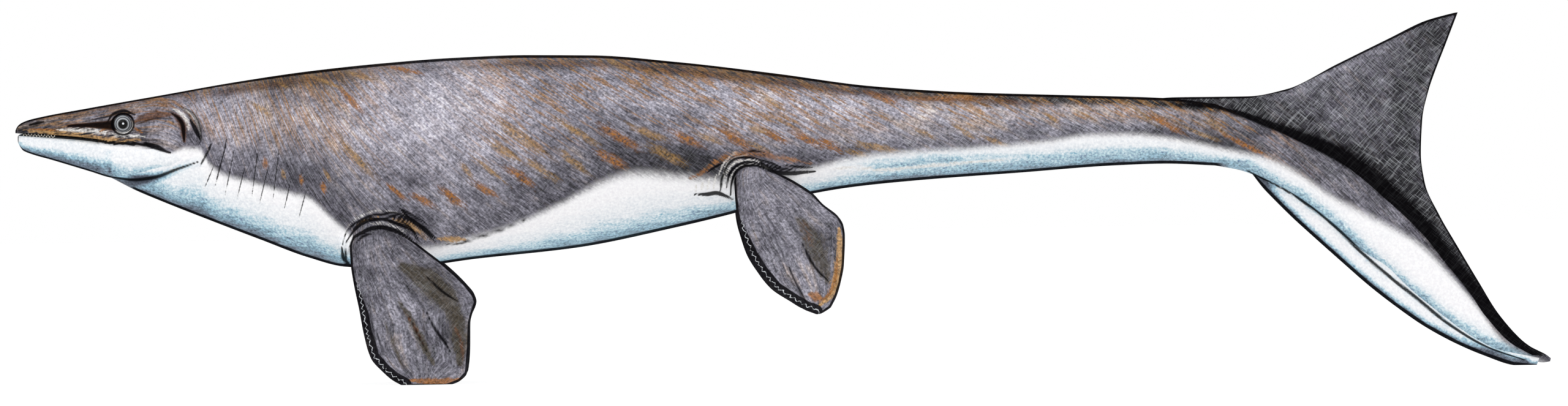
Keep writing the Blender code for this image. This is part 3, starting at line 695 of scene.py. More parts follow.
DASH_FRAY, DASH_EDGE, DASH_SPOT = 2.2, (1.25, 0.65), (0.62, 0.80)  # fray, soft edge, and radii of a spot
DASH_BREAKS, DASH_FAINTEST = (0.38, 0.54), 0.35
DEEP_SHARES = {"long": 0.30, "mottle": 0.30}
EDGE_REACH = {"strokes": 0.012, "hairs": 0.016, "grain": 0.020}  # how far each frays the white's edge
EDGE_SOFT = (0.006, 0.042)
PAINT_FRAY, INK_FRAY, PAINT_EDGE, PAINT_NEAR = 1.6, 0.5, (0.22, 0.62), (0.03, 0.15)
GRAIN_RANGE = (0.20, 0.80)
MATT_INK, WET_LEVEL = (0.2, 0.5), 0.15  # the ink at which the gloss starts to go and is gone
GLOSS_RANGE, RELIEF_DEPTH, RELIEF_STRENGTH, HAIR_SHARE = (0.42, 0.62), 0.004, 0.3, 0.5
SKIN_IOR = 1.4
LINE_EDGE, LINE_FRAY, LINE_COVER = (1.75, 1.35), 1.2, 0.85
LID_OVAL, LID_WANDER, LID_EDGE, LID_COVER = 0.93, 0.010, (0.0044, 0.0026), 0.95


# %% Building up the layers of skin
def field(tree, title, output="Fac"):
    return add(tree, "Attribute", attribute_name=title).outputs[output]


def sum_of(tree, noises, shares, start):
    """Adds shares of several noises to a number."""
    for name, share in shares.items():
        start = add(tree, "Math", {0: noises[name], 1: share, 2: start}, operation="MULTIPLY_ADD")
    return start


def between(tree, value, limits, **ends):
    """0 at the first limit and 1 at the second, or other ends: To_Min and To_Max."""
    sockets = {name.replace("_", " "): end for name, end in ends.items()}
    return add(tree, "MapRange", {"Value": value, "From Min": limits[0], "From Max": limits[1], **sockets})


def mix(tree, share, under, over, **settings):
    return add(tree, "MixRGB", {"Fac": share, "Color1": under, "Color2": over}, **settings)


def times(tree, one, other):
    return add(tree, "Math", {0: one, 1: other}, operation="MULTIPLY")


def skin_noises(tree):
    """The noises that break up the skin, from hand-sized blotches down to hair-fine strokes."""
    vectors = {name: field(tree, name, "Vector") for name in ("side", "flow")}
    made = {}
    for name, (vector, scale, detail) in NOISES.items():
        stretched = add(tree, "Mapping", {"Vector": vectors[vector], "Scale": scale})
        sockets = {"Vector": stretched, "Scale": 1.0, "Detail": detail, "Roughness": NOISE_ROUGHNESS}
        made[name] = add(tree, "TexNoise", sockets)
    for name, slant in HIGHLIGHT_HATCH_SLANTS.items():
        turned = add(tree, "Mapping", {"Vector": vectors["side"], "Rotation": (0, radians(-slant), 0)})
        stretched = add(tree, "Mapping", {"Vector": turned, "Scale": HIGHLIGHT_HATCH_SCALE})
        sockets = {"Vector": stretched, "Scale": 1.0, "Detail": HIGHLIGHT_HATCH_DETAIL}
        made[name] = add(tree, "TexNoise", {**sockets, "Roughness": HIGHLIGHT_HATCH_ROUGHNESS})
    return made


def grey_scale(tree, tone, colours):
    """Five colours from dark to light, evenly spaced."""
    ramp = add(tree, "ValToRGB", {"Fac": tone})
    for place, colour in enumerate(colours[1:-1], start=1):
        ramp.color_ramp.elements.new(place / (len(colours) - 1)).color = linear(colour)
    ramp.color_ramp.elements[0].color = linear(colours[0])
    ramp.color_ramp.elements[-1].color = linear(colours[-1])
    return ramp


def slate(tree, noises):
    """Cool and warm greys, mixed by mottling."""
    # The tone field carries painted highlight and shade as well as the skin's own greys.
    tone = sum_of(tree, noises, TONE_SHARES, field(tree, "tone"))
    middle = sum(TONE_SHARES.values()) / 2
    tone = between(tree, tone, (middle, middle + 1))
    warmth = sum_of(tree, noises, WARM_SHARES, field(tree, "warm"))
    cool, warm = grey_scale(tree, tone, COOL), grey_scale(tree, tone, WARM)
    return mix(tree, between(tree, warmth, WARM_RANGE), cool, warm)


def rust_streaks(tree, noises, colour):
    """Long thin streaks of rust and ochre where the noise runs high."""
    high = sum_of(tree, noises, {"blotch": RUST_BLOTCH}, noises["rusts"])
    cover = times(tree, between(tree, high, RUST_RANGE, To_Max=RUST_COVER), field(tree, "rusty"))
    cover = times(tree, cover, between(tree, noises["hairs"], RUST_BREAKS, To_Min=RUST_FAINTEST))
    return mix(tree, cover, colour, mix(tree, noises["mottle"], linear(OCHRE), linear(RUST)))


def nearest_spot(tree, spots):
    """How far each place is from the nearest of many turned ovals. Under 1 is inside one."""
    side, nearest_one = field(tree, "side", "Vector"), None
    for (px, pz), fall, (long, wide) in spots:
        spot = {"Location": (px, 0, pz), "Rotation": (0, fall, 0), "Scale": (long, SPOT_ACROSS, wide)}
        spot["Vector"] = side
        here = add(tree, "Mapping", spot, vector_type="TEXTURE")
        away = add(tree, "VectorMath", {0: here}, operation="LENGTH").outputs["Value"]
        if nearest_one:
            away = add(tree, "Math", {0: away, 1: nearest_one}, operation="MINIMUM")
        nearest_one = away
    return nearest_one


def dashes(tree, noises, colour):
    """Each dash is a stretched, turned spot, and rough noise frays its edge."""
    fray = add(tree, "Math", {0: noises["hairs"], 1: noises["grain"]}, operation="ADD")
    fray = add(tree, "Math", {0: fray, 1: 1.0}, operation="SUBTRACT")
    broken = between(tree, noises["grain"], DASH_BREAKS, To_Min=DASH_FAINTEST)
    for places, hex_colour, amount in DASH_LAYERS:
        spots = [
            ((px, pz), radians(fall), (DASH_SPOT[0] * length, DASH_SPOT[1] * width))
            for px, pz, length, fall, width in places
        ]
        away = nearest_spot(tree, spots)
        frayed = add(tree, "Math", {0: fray, 1: DASH_FRAY, 2: away}, operation="MULTIPLY_ADD")
        inside = times(tree, between(tree, frayed, DASH_EDGE, To_Max=amount), broken)
        colour = mix(tree, inside, colour, linear(hex_colour))
    return colour


def white_below(tree, noises, colour):
    """White under the shade line, going cyan and then grey towards the keel as painted shade."""
    deep = sum_of(tree, noises, DEEP_SHARES, field(tree, "deep"))
    deep = add(tree, "Math", {0: deep, 1: sum(DEEP_SHARES.values()) / 2}, operation="SUBTRACT")
    belly = add(tree, "ValToRGB", {"Fac": deep})
    for place, hex_colour in BELLY[1:-1]:
        belly.color_ramp.elements.new(place).color = linear(hex_colour)
    for end, (place, hex_colour) in ((0, BELLY[0]), (-1, BELLY[-1])):
        belly.color_ramp.elements[end].position = place
        belly.color_ramp.elements[end].color = linear(hex_colour)
    edge = sum_of(tree, noises, EDGE_REACH, field(tree, "above"))
    upper = between(tree, edge, EDGE_SOFT)
    upper.interpolation_type = "SMOOTHSTEP"
    return mix(tree, upper, belly, colour)


def paint(tree, noise, colour, title, hex_colour, amount, fray=PAINT_FRAY):
    """A layer of paint wherever the piece's own number is high. More fray makes its edge rougher."""
    here = field(tree, title)
    rough = add(tree, "Math", {0: noise, 1: fray, 2: here}, operation="MULTIPLY_ADD")
    cover = between(tree, rough, [limit + fray / 2 for limit in PAINT_EDGE], To_Max=amount)
    cover = times(tree, cover, between(tree, here, PAINT_NEAR))
    return mix(tree, cover, colour, linear(hex_colour))


def speckle_and_highlight_hatching(tree, noises, colour):
    """Fine speckle, and pale hatching painted as highlights where the rims of the scales catch the light."""
    speckle = between(tree, noises["grain"], GRAIN_RANGE)
    colour = mix(tree, 1.0, colour, speckle, blend_type="OVERLAY")
    for name, limits in HIGHLIGHT_HATCH_START.items():
        line = times(tree, between(tree, noises[name], limits), field(tree, "hatch"))
        colour = mix(tree, line, colour, linear(CHALK))
    return colour


def moist_shader(tree, noises, colour):
    """Weak broad gloss, none of it on the dark lines, and a fine relief of strokes and grain."""
    shine = between(tree, field(tree, "ink"), MATT_INK, To_Min=WET_LEVEL, To_Max=0.0)
    height = sum_of(tree, noises, {"hairs": HAIR_SHARE}, noises["grain"])
    bump = {"Height": height, "Strength": RELIEF_STRENGTH, "Distance": RELIEF_DEPTH}
    bump = add(tree, "Bump", bump)
    gloss = between(tree, noises["mottle"], (0, 1), To_Min=GLOSS_RANGE[0], To_Max=GLOSS_RANGE[1])
    wet = {"Roughness": gloss, "IOR": SKIN_IOR, "Specular IOR Level": shine, "Normal": bump}
    shader = add(tree, "BsdfPrincipled", {"Base Color": colour, **wet})
    add(tree, "OutputMaterial", {"Surface": shader})


def thin_lines(tree, noises, colour):
    """Slits and folds finer than the mesh, darkened with painted shade: each is a spot like a dash, but as
    thin as a pencil line.
    """
    spots = []
    for (x0, z0), (x1, z1), width in THIN_LINES:
        length, fall = np.hypot(x1 - x0, z1 - z0), np.arctan2(z0 - z1, x1 - x0)
        spots.append((((x0 + x1) / 2, (z0 + z1) / 2), fall, (length / 2, width / 2)))
    rough = sum_of(tree, noises, {"grain": LINE_FRAY}, nearest_spot(tree, spots))
    return mix(tree, between(tree, rough, LINE_EDGE, To_Max=LINE_COVER), colour, linear(BLACK))


def lid_line(tree, noises, colour):
    """A dark line round the lids, at an even distance from the middle of the eye."""
    oval = {0: field(tree, "side", "Vector"), 1: (LID_OVAL, 0, 1), 2: (-LID_OVAL * EYE.x, 0, -EYE.z)}
    oval = add(tree, "VectorMath", oval, operation="MULTIPLY_ADD")
    radius = add(tree, "VectorMath", {0: oval}, operation="LENGTH").outputs["Value"]
    rough = sum_of(tree, noises, {"mottle": LID_WANDER}, radius)
    off = add(tree, "Math", {0: rough, 1: LID_LINE + LID_WANDER / 2}, operation="SUBTRACT")
    off = add(tree, "Math", {0: off}, operation="ABSOLUTE")
    return mix(tree, between(tree, off, LID_EDGE, To_Max=LID_COVER), colour, linear(BLACK))


PAINTS = [("olive", OLIVE, 0.84), ("cream", CREAM, 0.75), ("tan", TAN, 0.9), ("rust", RUST, 0.85),
          ("umber", UMBER, 0.85)]
INK_COVER = 0.95


def skin(name, dashed=False):
    made, tree = new_material(name)
    noises = skin_noises(tree)
    colour = rust_streaks(tree, noises, slate(tree, noises))
    if dashed:
        colour = dashes(tree, noises, colour)
    colour = white_below(tree, noises, colour)
    for title, hex_colour, amount in PAINTS:
        colour = paint(tree, noises["hairs"], colour, title, hex_colour, amount)
    if dashed:
        colour = thin_lines(tree, noises, lid_line(tree, noises, colour))
    colour = speckle_and_highlight_hatching(tree, noises, colour)
    colour = paint(tree, noises["grain"], colour, "ink", BLACK, INK_COVER, INK_FRAY)
    moist_shader(tree, noises, colour)
    print(name, "has", len(tree.nodes), "nodes")
    return made


slate_hide = skin("moist slate and white hide", dashed=True)
plain_hide = skin("moist plain hide")

# %% [markdown]
# ## The numbers on the hide
#
# The slate is lightest high on the flank and darkest along the back and beside the white, as a
# painted highlight and painted shade. A second line shifts it along the length: dark head, pale
# neck, dusky middle, dark tail. Places such as the painted shade of the armpit or the top of the
# tail are marked out where a few fades overlap, and each number gets its own amount of them.

# %% Light and dark of the slate: painted highlight and shade up the flank, and its tone along the length
TONE_UP_LIT_AND_SHADED = [(0.0, 0.36), (0.12, 0.40), (0.30, 0.53), (0.50, 0.66), (0.68, 0.73), (0.82, 0.68), (0.90, 0.58),
           (0.95, 0.48), (1.0, 0.38)]
TONE_ALONG = [(0.0, -0.43), (0.12, -0.41), (0.30, -0.28), (0.60, -0.20), (0.72, 0.0), (0.85, -0.02),
              (1.02, -0.08), (1.20, -0.02), (1.40, 0.04), (1.70, 0.02), (1.95, -0.12), (2.30, -0.11),
              (2.55, -0.05), (2.90, -0.01), (3.20, 0.04), (3.60, -0.04), (3.90, -0.06), (4.40, -0.30),
              (4.80, -0.32), (5.20, -0.42)]
WARM_ALONG = [(0.0, 0.45), (0.30, 0.45), (0.60, -0.10), (0.72, 0.0), (0.90, 0.20), (1.10, 0.25),
              (1.40, -0.05), (1.90, -0.12), (2.50, -0.06), (3.00, 0.06), (3.80, 0.32), (4.40, 0.30),
              (4.80, 0.0)]
tone_up_lit_and_shaded, tone_along, warm_along = smooth_line(TONE_UP_LIT_AND_SHADED), smooth_line(TONE_ALONG), smooth_line(WARM_ALONG)
print("slate is lightest at", max(TONE_UP_LIT_AND_SHADED, key=lambda point: point[1])[0], "of the way up")

# %% Strokes of ink and paint: the stroke, its width and its strength
# Most of these dark strokes lie in the grooves and folds sunk above, in the creases at the flippers' roots,
# under the brow and under the jaw's edge: there they are painted shade, and so is the hatching near the
# roots.
GROOVE_SHADE_AND_INKS = [
    (WEDGE, 0.006, 0.9), (TEMPLE_EDGE, 0.005, 0.55), (LID_SHADOW, 0.007, 0.85), (BROW, 0.005, 0.60),
    (NOSTRIL, 0.006, 0.9), (POCKET, 0.010, 0.80), (EAR, 0.009, 1.0), (COLLAR_REAR, 0.007, 0.60),
    (COLLAR_DARK, 0.009, 0.50), (JAW_EDGE, 0.0085, 0.75), (MOUTH_HOOKS[0], 0.009, 0.9),
    (MOUTH_HOOKS[1], 0.007, 0.7), (FORE_FOLDS[0], 0.005, 0.9), (FORE_FOLDS[1], 0.006, 1.0),
    (FORE_FOLDS[2], 0.008, 1.1), (FORE_CUFF, 0.008, 0.9), (FORE_CREASE, 0.008, 0.9),
    (FORE_STRIP_EDGE, 0.009, 0.60), (HIND_FOLDS[0], 0.005, 0.9), (HIND_FOLDS[1], 0.005, 0.9),
    (HIND_FOLDS[2], 0.005, 1.0), (HIND_CREASE, 0.008, 1.1), (BELLY_CREASE, 0.007, 1.2),
    (KEEL_CREASE, 0.007, 0.9), *((line, 0.006, 0.75) for line in FORE_HATCH + HIND_HATCH),
]
SNOUT_TAN = [(0.030, 0.926), (0.082, 0.921), (0.16, 0.913), (0.278, 0.900), (0.403, 0.887), (0.46, 0.893)]
# LIP_CREAM, ABOVE_FOLD, TAIL_FOLD and the tan and cream strokes between the folds at the flippers' roots lie
# on rolls and ridges: they are painted highlights.
LIP_CREAM = [(0.150, 0.927), (0.300, 0.921), (0.356, 0.911), (0.474, 0.902)]
PALE_LIFT = 0.014  # a pale stroke runs this high above the outermost fold, short of its ends
ABOVE_FOLD = [(px, pz + PALE_LIFT) for px, pz in FORE_FOLDS[0][1:7]]
FORE_ROLL = halfway(*FORE_FOLDS[:2])
HIDE_STROKES = {
    "tan": [(SNOUT_TAN, 0.014, 0.58), (FORE_ROLL[2:5], 0.005, 0.60), (FORE_ROLL[5:], 0.012, 0.62),
            (FORE_STRIP, 0.012, 0.75)],
    "rust": [(HIND_RUST, 0.017, 0.52), ([(0.309, 0.920), (0.352, 0.945)], 0.006, 0.8),
             ([(0.432, 0.938), (0.466, 0.915)], 0.007, 0.8), ([(0.05, 0.930), (0.16, 0.925)], 0.005, 0.6)],
    "cream": [(LIP_CREAM, 0.011, 0.62), (COLLAR_PALE, 0.009, 0.72), (COLLAR_INSIDE, 0.005, 0.7),
              (halfway(*FORE_FOLDS[1:]), 0.006, 0.50), (halfway(*HIND_FOLDS[:2]), 0.005, 0.65),
              (ABOVE_FOLD, 0.006, 0.45), (halfway(*HIND_FOLDS[1:]), 0.004, 0.60), (TAIL_FOLD, 0.006, 0.9),
              *((tick, 0.005, 0.75) for tick in HIND_TICKS)],
    "umber": [(TEMPLE, 0.019, 0.85), (POCKET, 0.016, 0.85)],
}
FULL_INK = 1.1
ALL_WHITE, ALL_SLATE = -0.1, 0.2  # how far above the shade line, for a piece that is on one side of it


def strokes(x, z, table):
    return np.maximum.reduce([stroke(x, z, *row) for row in table])


# %% Places, each marked out by a product of fades
def around(value, middle, reach):
    """1 at the middle, and fading to nothing two reaches away."""
    return ridge(value - middle, reach)


def all_but(value, middle, reach, share):
    """1 everywhere, but for a share that is taken out round the middle."""
    return 1 - share * ridge(value - middle, reach)


def marked_out(table, measures):
    """How strongly each vertex lies in each place of a table."""
    found = {}
    for name, parts in table.items():
        found[name] = 1.0
        for how, measure, *numbers in parts:
            found[name] = found[name] * how(measures[measure], *numbers)
    return found


def total(places, amounts, start=0.0):
    """A start, and an amount of each place on top."""
    return start + sum(amount * places[name] for name, amount in amounts.items())


def strongest(places, amounts, start):
    """The start, or an amount of a place wherever that is stronger."""
    return np.maximum.reduce([start, *(amount * places[name] for name, amount in amounts.items())])


# %% The places on the hide, and how much of each a number gets
OUTLINE = 0.0075  # a dark line along back and keel, as wide as it shows from the side
OUTLINE_THINNER, HEAD_BEHIND = 0.0025, (1.0, 0.6)
TAIL_HIGH, TAIL_FADES = 0.45, (4.30, 4.70)  # where the back ends, the tone is that of mid flank
KEEL_NEAR, KEEL_DEEP, KEEL_FADES = (0.075, 0.0), 0.8, (4.38, 4.55)
CREASE_SLOPE, LID_SLOPE, WEDGE_HEIGHT, WEDGE_CURVE, WEDGE_SHORT = 0.75, 0.6, 0.9440, 1.3, 0.04
MOUTH_INK_UP, ARMPIT, TAIL_SHADE_START = 0.001, (1.42, 0.68), 4.55
ON_TRUNK = (fade, "x", TRUNK_END + 0.06, TRUNK_END - 0.04)
CREASED = [(fade, "off crease", -0.014, 0.008), (fade, "x", 4.00, 4.45)]
RUSTY = [(fade, "high", 0.25, 0.5), (all_but, "x", 1.5, 0.22, 0.85), (fade, "x", 4.8, 4.5)]
HATCHED = (fade, "x", 0.75, 1.1)
HIDE_PLACES = {  # each part: fade, a measure, and where it is nothing and full, or else around a middle
    "pale cheek": [(fade, "high", 0.54, 0.38), (around, "x", 0.56, 0.06)],
    "dusky shoulder": [(fade, "high", 0.62, 0.85), (around, "x", 1.03, 0.17)],
    "dusky thigh": [(fade, "high", 0.46, 0.14), (around, "x", 2.50, 0.22)],
    "tail's top": [(fade, "high", 0.70, 0.88), (fade, "x", 3.10, 3.90)],
    "hip's top": [(fade, "high", 0.82, 0.92), (fade, "x", 2.1, 2.4)],
    # The armpit is darkened with painted shade.
    "armpit": [(around, "from armpit", 0, 0.13)],
    "dusk": [(around, "off back", 0.032, 0.017), (all_but, "x", 1.5, 0.25, 0.7), (fade, "x", 0.55, 0.80),
             (fade, "x", 4.0, 3.6)],
    # The crease where the tail fin rises is darkened with painted shade, and inked darker at its rim.
    "shaded tail crease": CREASED,
    "crease's rim": [*CREASED, (around, "off crease", 0.004, 0.014)],
    "warm flank": [(fade, "high", 0.15, 0.5)],
    "warm back": [(fade, "high", 0.84, 0.94), (fade, "x", 0.45, 0.7), (all_but, "x", 1.5, 0.25, 0.8)],
    "rusty head": [*RUSTY, (fade, "x", 0.04, 0.12)],
    "rusty body": [*RUSTY, (fade, "x", 0.30, 0.65)],
    "pale belly": [(around, "x", 2.15, 0.40)],
    # The throat just under the jaw's edge is greyed as the jaw's painted shadow.
    "under the jaw": [(fade, "off jaw", -0.030, -0.004), (fade, "off jaw", 0.03, 0.01),
                      (fade, "x", 0.38, 0.46), (fade, "x", 0.72, 0.62)],
    "tail's belly": [(fade, "x", 2.90, 3.30), (fade, "keel", 0.9, 0.5)],
    "over the fold": [(fade, "off fold", 0.002, 0.012), (fade, "x", 2.80, 3.10), (fade, "x", 3.90, 3.30)],
    "flank": [HATCHED],
    "low flank": [HATCHED, (fade, "high", 0.45, 0.15), (fade, "in slate", 0, 1)],
    "tail": [HATCHED, (fade, "x", 2.6, 3.6)],
    "brown head": [(fade, "high", 0.62, 0.80), (fade, "x", 0.10, 0.20), (fade, "x", 0.80, 0.60)],
    "low thigh": [(around, "x", 2.35, 0.35)],
    "neck": [(fade, "x", 0.66, 0.56)],
    "wedge": [(fade, "off wedge", 1, 0.45), (fade, "x", 0.155, 0.215), (fade, "x", EYE.x, EYE.x - 0.03)],
    "upper lid": [(fade, "over eye", -0.030, 0.012), (around, "lid", 0.0375, 0.0040)],
    "lower lid": [(fade, "over eye", 0.012, -0.030), (around, "lid", 0.033, 0.006)],
    "back line": [(fade, "off outline", 0.004, -0.001), ON_TRUNK],
    "keel line": [(fade, "off keel", OUTLINE + 0.005, OUTLINE), ON_TRUNK, (fade, "x", 0.40, 0.46)],
    "mouth line": [(fade, "off mouth", 0.006, 0.003), (fade, "x", 0.56, 0.50), (fade, "x", 0.0, 0.02)],
    "nose": [(fade, "x", 0.007, 0.003)],
}
HIDE_ABOVE = {"low thigh": -0.45, "neck": 0.8}
HIDE_TONE = {"pale cheek": 0.33, "dusky shoulder": -0.20, "dusky thigh": -0.26, "tail's top": -0.58,
             "hip's top": -0.30, "armpit": -0.14, "dusk": -0.10, "shaded tail crease": -0.30}
HIDE_WARM, HIDE_RUSTY = {"warm back": 0.45}, {"rusty head": 0.7, "rusty body": 0.3}
# How far the white is greyed by painted shade: towards the keel, over the tail's fold and belly, and under
# the jaw as its painted shadow; it is paler mid-belly.
HIDE_DEEP = {"pale belly": -0.10, "under the jaw": 0.34, "tail's belly": 0.16, "over the fold": 0.24}
HIDE_HATCH = {"flank": 0.03, "low flank": 0.04, "tail": 0.08}
HIDE_UMBER = {"wedge": 0.85, "brown head": 0.28, "dusk": 0.42}
HIDE_CREAM, CREASE_SHADE_INK = {"lower lid": 0.75}, {"shaded tail crease": 0.19, "crease's rim": 0.76}
HIDE_INK = {"wedge": 0.62, "upper lid": 0.80, "back line": FULL_INK, "keel line": FULL_INK,
            "mouth line": FULL_INK, "nose": FULL_INK}
print("places on the hide:", len(HIDE_PLACES))

# %% Measuring the hide
x, y, z = points_of(hide)
line, top, low = shade_line(x), back(x), underside(x)
high = np.clip((z - line) / (top - line), 0, 1)
high = high + (TAIL_HIGH - high) * fade(x, *TAIL_FADES)
keel = np.clip((line - z) / (line - low), 0, 1)
tail_keel = KEEL_DEEP * fade(nearest(x, z, KEEL_CREASE)[0], *KEEL_NEAR)
keel = keel + (tail_keel - keel) * fade(x, *KEEL_FADES)
along_wedge = np.clip((x - WEDGE[0][0]) / (EYE.x - WEDGE_SHORT - WEDGE[0][0]), 0, 1)
wedge_half = WEDGE_NARROW + (WEDGE_WIDE - WEDGE_NARROW) * along_wedge**WEDGE_CURVE
outline = OUTLINE - OUTLINE_THINNER * fade(x, *HEAD_BEHIND)
measures = {
    "x": x, "high": high, "keel": keel, "lid": from_eye(x, z), "in slate": np.where(z > line, 1, 0),
    "over eye": (z - EYE.z) - LID_SLOPE * (x - EYE.x), "off wedge": np.abs(z - WEDGE_HEIGHT) / wedge_half,
    "off mouth": np.abs(z - mouth(x) - MOUTH_INK_UP), "off back": top - z, "off outline": top - z - outline,
    "off keel": z - low, "off crease": (z - fin_crease(x)) * CREASE_SLOPE, "off jaw": z - jaw_shadow(x),
    "off fold": z - tail_fold(x), "from armpit": np.hypot(x - ARMPIT[0], z - ARMPIT[1]),
}

# %% The hide's own numbers
on_hide = marked_out(HIDE_PLACES, measures)
painted = {title: strokes(x, z, table) for title, table in HIDE_STROKES.items()}
inked = np.maximum(strokes(x, z, GROOVE_SHADE_AND_INKS), total(on_hide, CREASE_SHADE_INK))
steepness = np.where(x > TAIL_SHADE_START, CREASE_SLOPE, total(on_hide, HIDE_ABOVE, 1))
fields = {
    "side": np.column_stack([x, y, z]),
    "flow": np.column_stack([x, y, flow_height(x, z)]),
    "above": (z - line) * steepness,
    "tone": total(on_hide, HIDE_TONE, tone_up_lit_and_shaded(high) + tone_along(x)),
    "warm": total(on_hide, HIDE_WARM, warm_along(x) * on_hide["warm flank"]),
    "rusty": total(on_hide, HIDE_RUSTY),
    "deep": total(on_hide, HIDE_DEEP, keel),
    "hatch": total(on_hide, HIDE_HATCH),
    "tan": painted["tan"],
    "rust": painted["rust"],
    "cream": strongest(on_hide, HIDE_CREAM, painted["cream"]),
    "umber": strongest(on_hide, HIDE_UMBER, painted["umber"]),
    "ink": strongest(on_hide, HIDE_INK, inked),
}
finish_piece(hide, "hide", slate_hide, fields, ["body"])

# %% [markdown]
# ## The lower jaw
#
# The lower jaw closes against the upper one along a long, slightly wavy lip. It is made like
# the hide: a tube that is flat on top and rounded below.

# %% Lower jaw
JAW_START, JAW_END = 0.008, 0.70
JAW_BOTTOM = [(0.008, 0.868), (0.03, 0.850), (0.06, 0.838), (0.13, 0.818), (0.27, 0.776),
              (0.35, 0.752), (0.41, 0.744), (0.47, 0.748), (0.53, 0.760), (0.60, 0.782),
              (0.66, 0.806), (0.70, 0.828)]
JAW_TOP_END = [(0.57, 0.850), (0.64, 0.848), (0.70, 0.842)]
JAW_HALF_WIDTH = [(0.008, 0.016), (0.03, 0.032), (0.06, 0.042), (0.13, 0.052), (0.27, 0.073),
                  (0.35, 0.089), (0.44, 0.109), (0.53, 0.127), (0.60, 0.136), (0.66, 0.130),
                  (0.70, 0.100)]
JAW_SHADE = [(0.356, 0.861), (0.338, 0.830), (0.346, 0.775)]
JAW_LIP = [(0.300, 0.884), (0.360, 0.873), (0.440, 0.869), (0.480, 0.872)]
JAW_STROKES = [(JAW_LIP, 0.006, 1.2), (JAW_EDGE, 0.0065, 0.72), (MOUTH_HOOKS[0], 0.009, 0.9)]
JAW_PLACES = {
    "lip": [(fade, "under lip", 0.004, 0.001), (fade, "x", 0.52, 0.44)],
    "bottom": [(fade, "off bottom", 0.009, 0.004), (fade, "x", 0.46, 0.36)],
    "chin": [(fade, "x", 0.013, 0.009)],
    "keel": [(fade, "keel", 0.30, 0.93)],
    "rear": [(fade, "x", 0.30, 0.40)],
    "gum": [(fade, "keel", 0.16, 0.04), (fade, "x", 0.40, 0.30)],
}
# The lower jaw's white is greyed with painted shade, more towards its keel and under the lip at the front,
# less at the rear; the stroke across it is painted shade too.
JAW_DEEP, JAW_SHADOW = 0.44, (JAW_SHADE, 0.016, 0.16)  # how grey the white is, and a stroke of shade
JAW_DEEPER = {"keel": 0.50, "rear": -0.12, "gum": 0.12}
JAW_INK = {"lip": FULL_INK, "bottom": FULL_INK, "chin": FULL_INK}
JAW_WIDEST, JAW_TOP_SQUARE, JAW_BOTTOM_SQUARE = 0.62, 4.5, 2.3
JAW_SIDES, JAW_RINGS = 140, 220
JAW_BLUNT, JAW_CROWDING, TIP_SHARE = 0.022, 1.35, 0.12
TONGUE_RISE, TONGUE_SIDES = 0.0056, (0.62, 0.45)
jaw_bottom, jaw_width = smooth_line(JAW_BOTTOM), smooth_line(JAW_HALF_WIDTH)
jaw_top_end = smooth_line(JAW_TOP_END)


def jaw_top(x):
    return np.where(x < MOUTH[-1][0], mouth(x) - 0.5 * JAW_TOP_GAP, jaw_top_end(x))


def jaw_place(share, c, s):
    x = JAW_START + (JAW_END - JAW_START) * share**JAW_CROWDING
    bluntness = np.sqrt(1 - (1 - np.clip((x - JAW_START) / JAW_BLUNT, 0, 1)) ** 2)
    blunt = TIP_SHARE + (1 - TIP_SHARE) * bluntness
    top, low = jaw_top(x), jaw_bottom(x)
    middle = low + JAW_WIDEST * (top - low)
    square = np.where(s > 0, JAW_TOP_SQUARE, JAW_BOTTOM_SQUARE)
    rise = squared(s, square) * np.where(s > 0, top - middle, middle - low)
    tongue = TONGUE_RISE * fade(np.abs(c), *TONGUE_SIDES) * (s > 0)
    return x, squared(c, square) * jaw_width(x) * blunt, middle + rise * blunt + tongue


jaw = unit_tube(JAW_SIDES, JAW_RINGS)
mould(jaw, jaw_place)
x, y, z = points_of(jaw)
jaw_keel = np.clip((jaw_top(x) - z) / (jaw_top(x) - jaw_bottom(x)), 0, 1)
measures = {"x": x, "keel": jaw_keel, "under lip": jaw_top(x) - z, "off bottom": z - jaw_bottom(x)}
on_jaw = marked_out(JAW_PLACES, measures)
fields = {
    "side": np.column_stack([x, y, z]),
    "flow": np.column_stack([x, y, flow_height(x, z)]),
    "above": np.full(len(x), ALL_WHITE),
    "deep": total(on_jaw, JAW_DEEPER, JAW_DEEP + stroke(x, z, *JAW_SHADOW)),
    "ink": strongest(on_jaw, JAW_INK, strokes(x, z, JAW_STROKES)),
}
finish_piece(jaw, "jaw", plain_hide, fields, ["lower_jaw"])

# %% [markdown]
# ## The tail fin
#
# The tail's bones bend down into the lower lobe, and a blade of stiff tissue stands above the
# bend. Each blade is thin and ruled: straight rays run from the middle of the tail to the edge.

# %% Tail blades
UPPER_FIN = [(4.10, 0.92, 4.08, 1.030), (4.24, 0.915, 4.22, 1.046), (4.36, 0.90, 4.37, 1.048),
             (4.46, 0.88, 4.50, 1.050), (4.57, 0.84, 4.64, 1.077), (4.68, 0.785, 4.82, 1.167),
             (4.77, 0.735, 5.00, 1.256), (4.84, 0.69, 5.15, 1.328), (4.89, 0.641, 5.262, 1.358),
             (4.95, 0.592, 5.21, 1.222), (5.00, 0.552, 5.166, 1.110), (5.04, 0.516, 5.132, 0.965),
             (5.08, 0.474, 5.127, 0.842), (5.12, 0.429, 5.142, 0.731), (5.16, 0.391, 5.193, 0.619),
             (5.22, 0.337, 5.258, 0.507), (5.29, 0.266, 5.338, 0.373), (5.37, 0.199, 5.41, 0.257),
             (5.45, 0.145, 5.508, 0.150), (5.53, 0.105, 5.585, 0.103)]
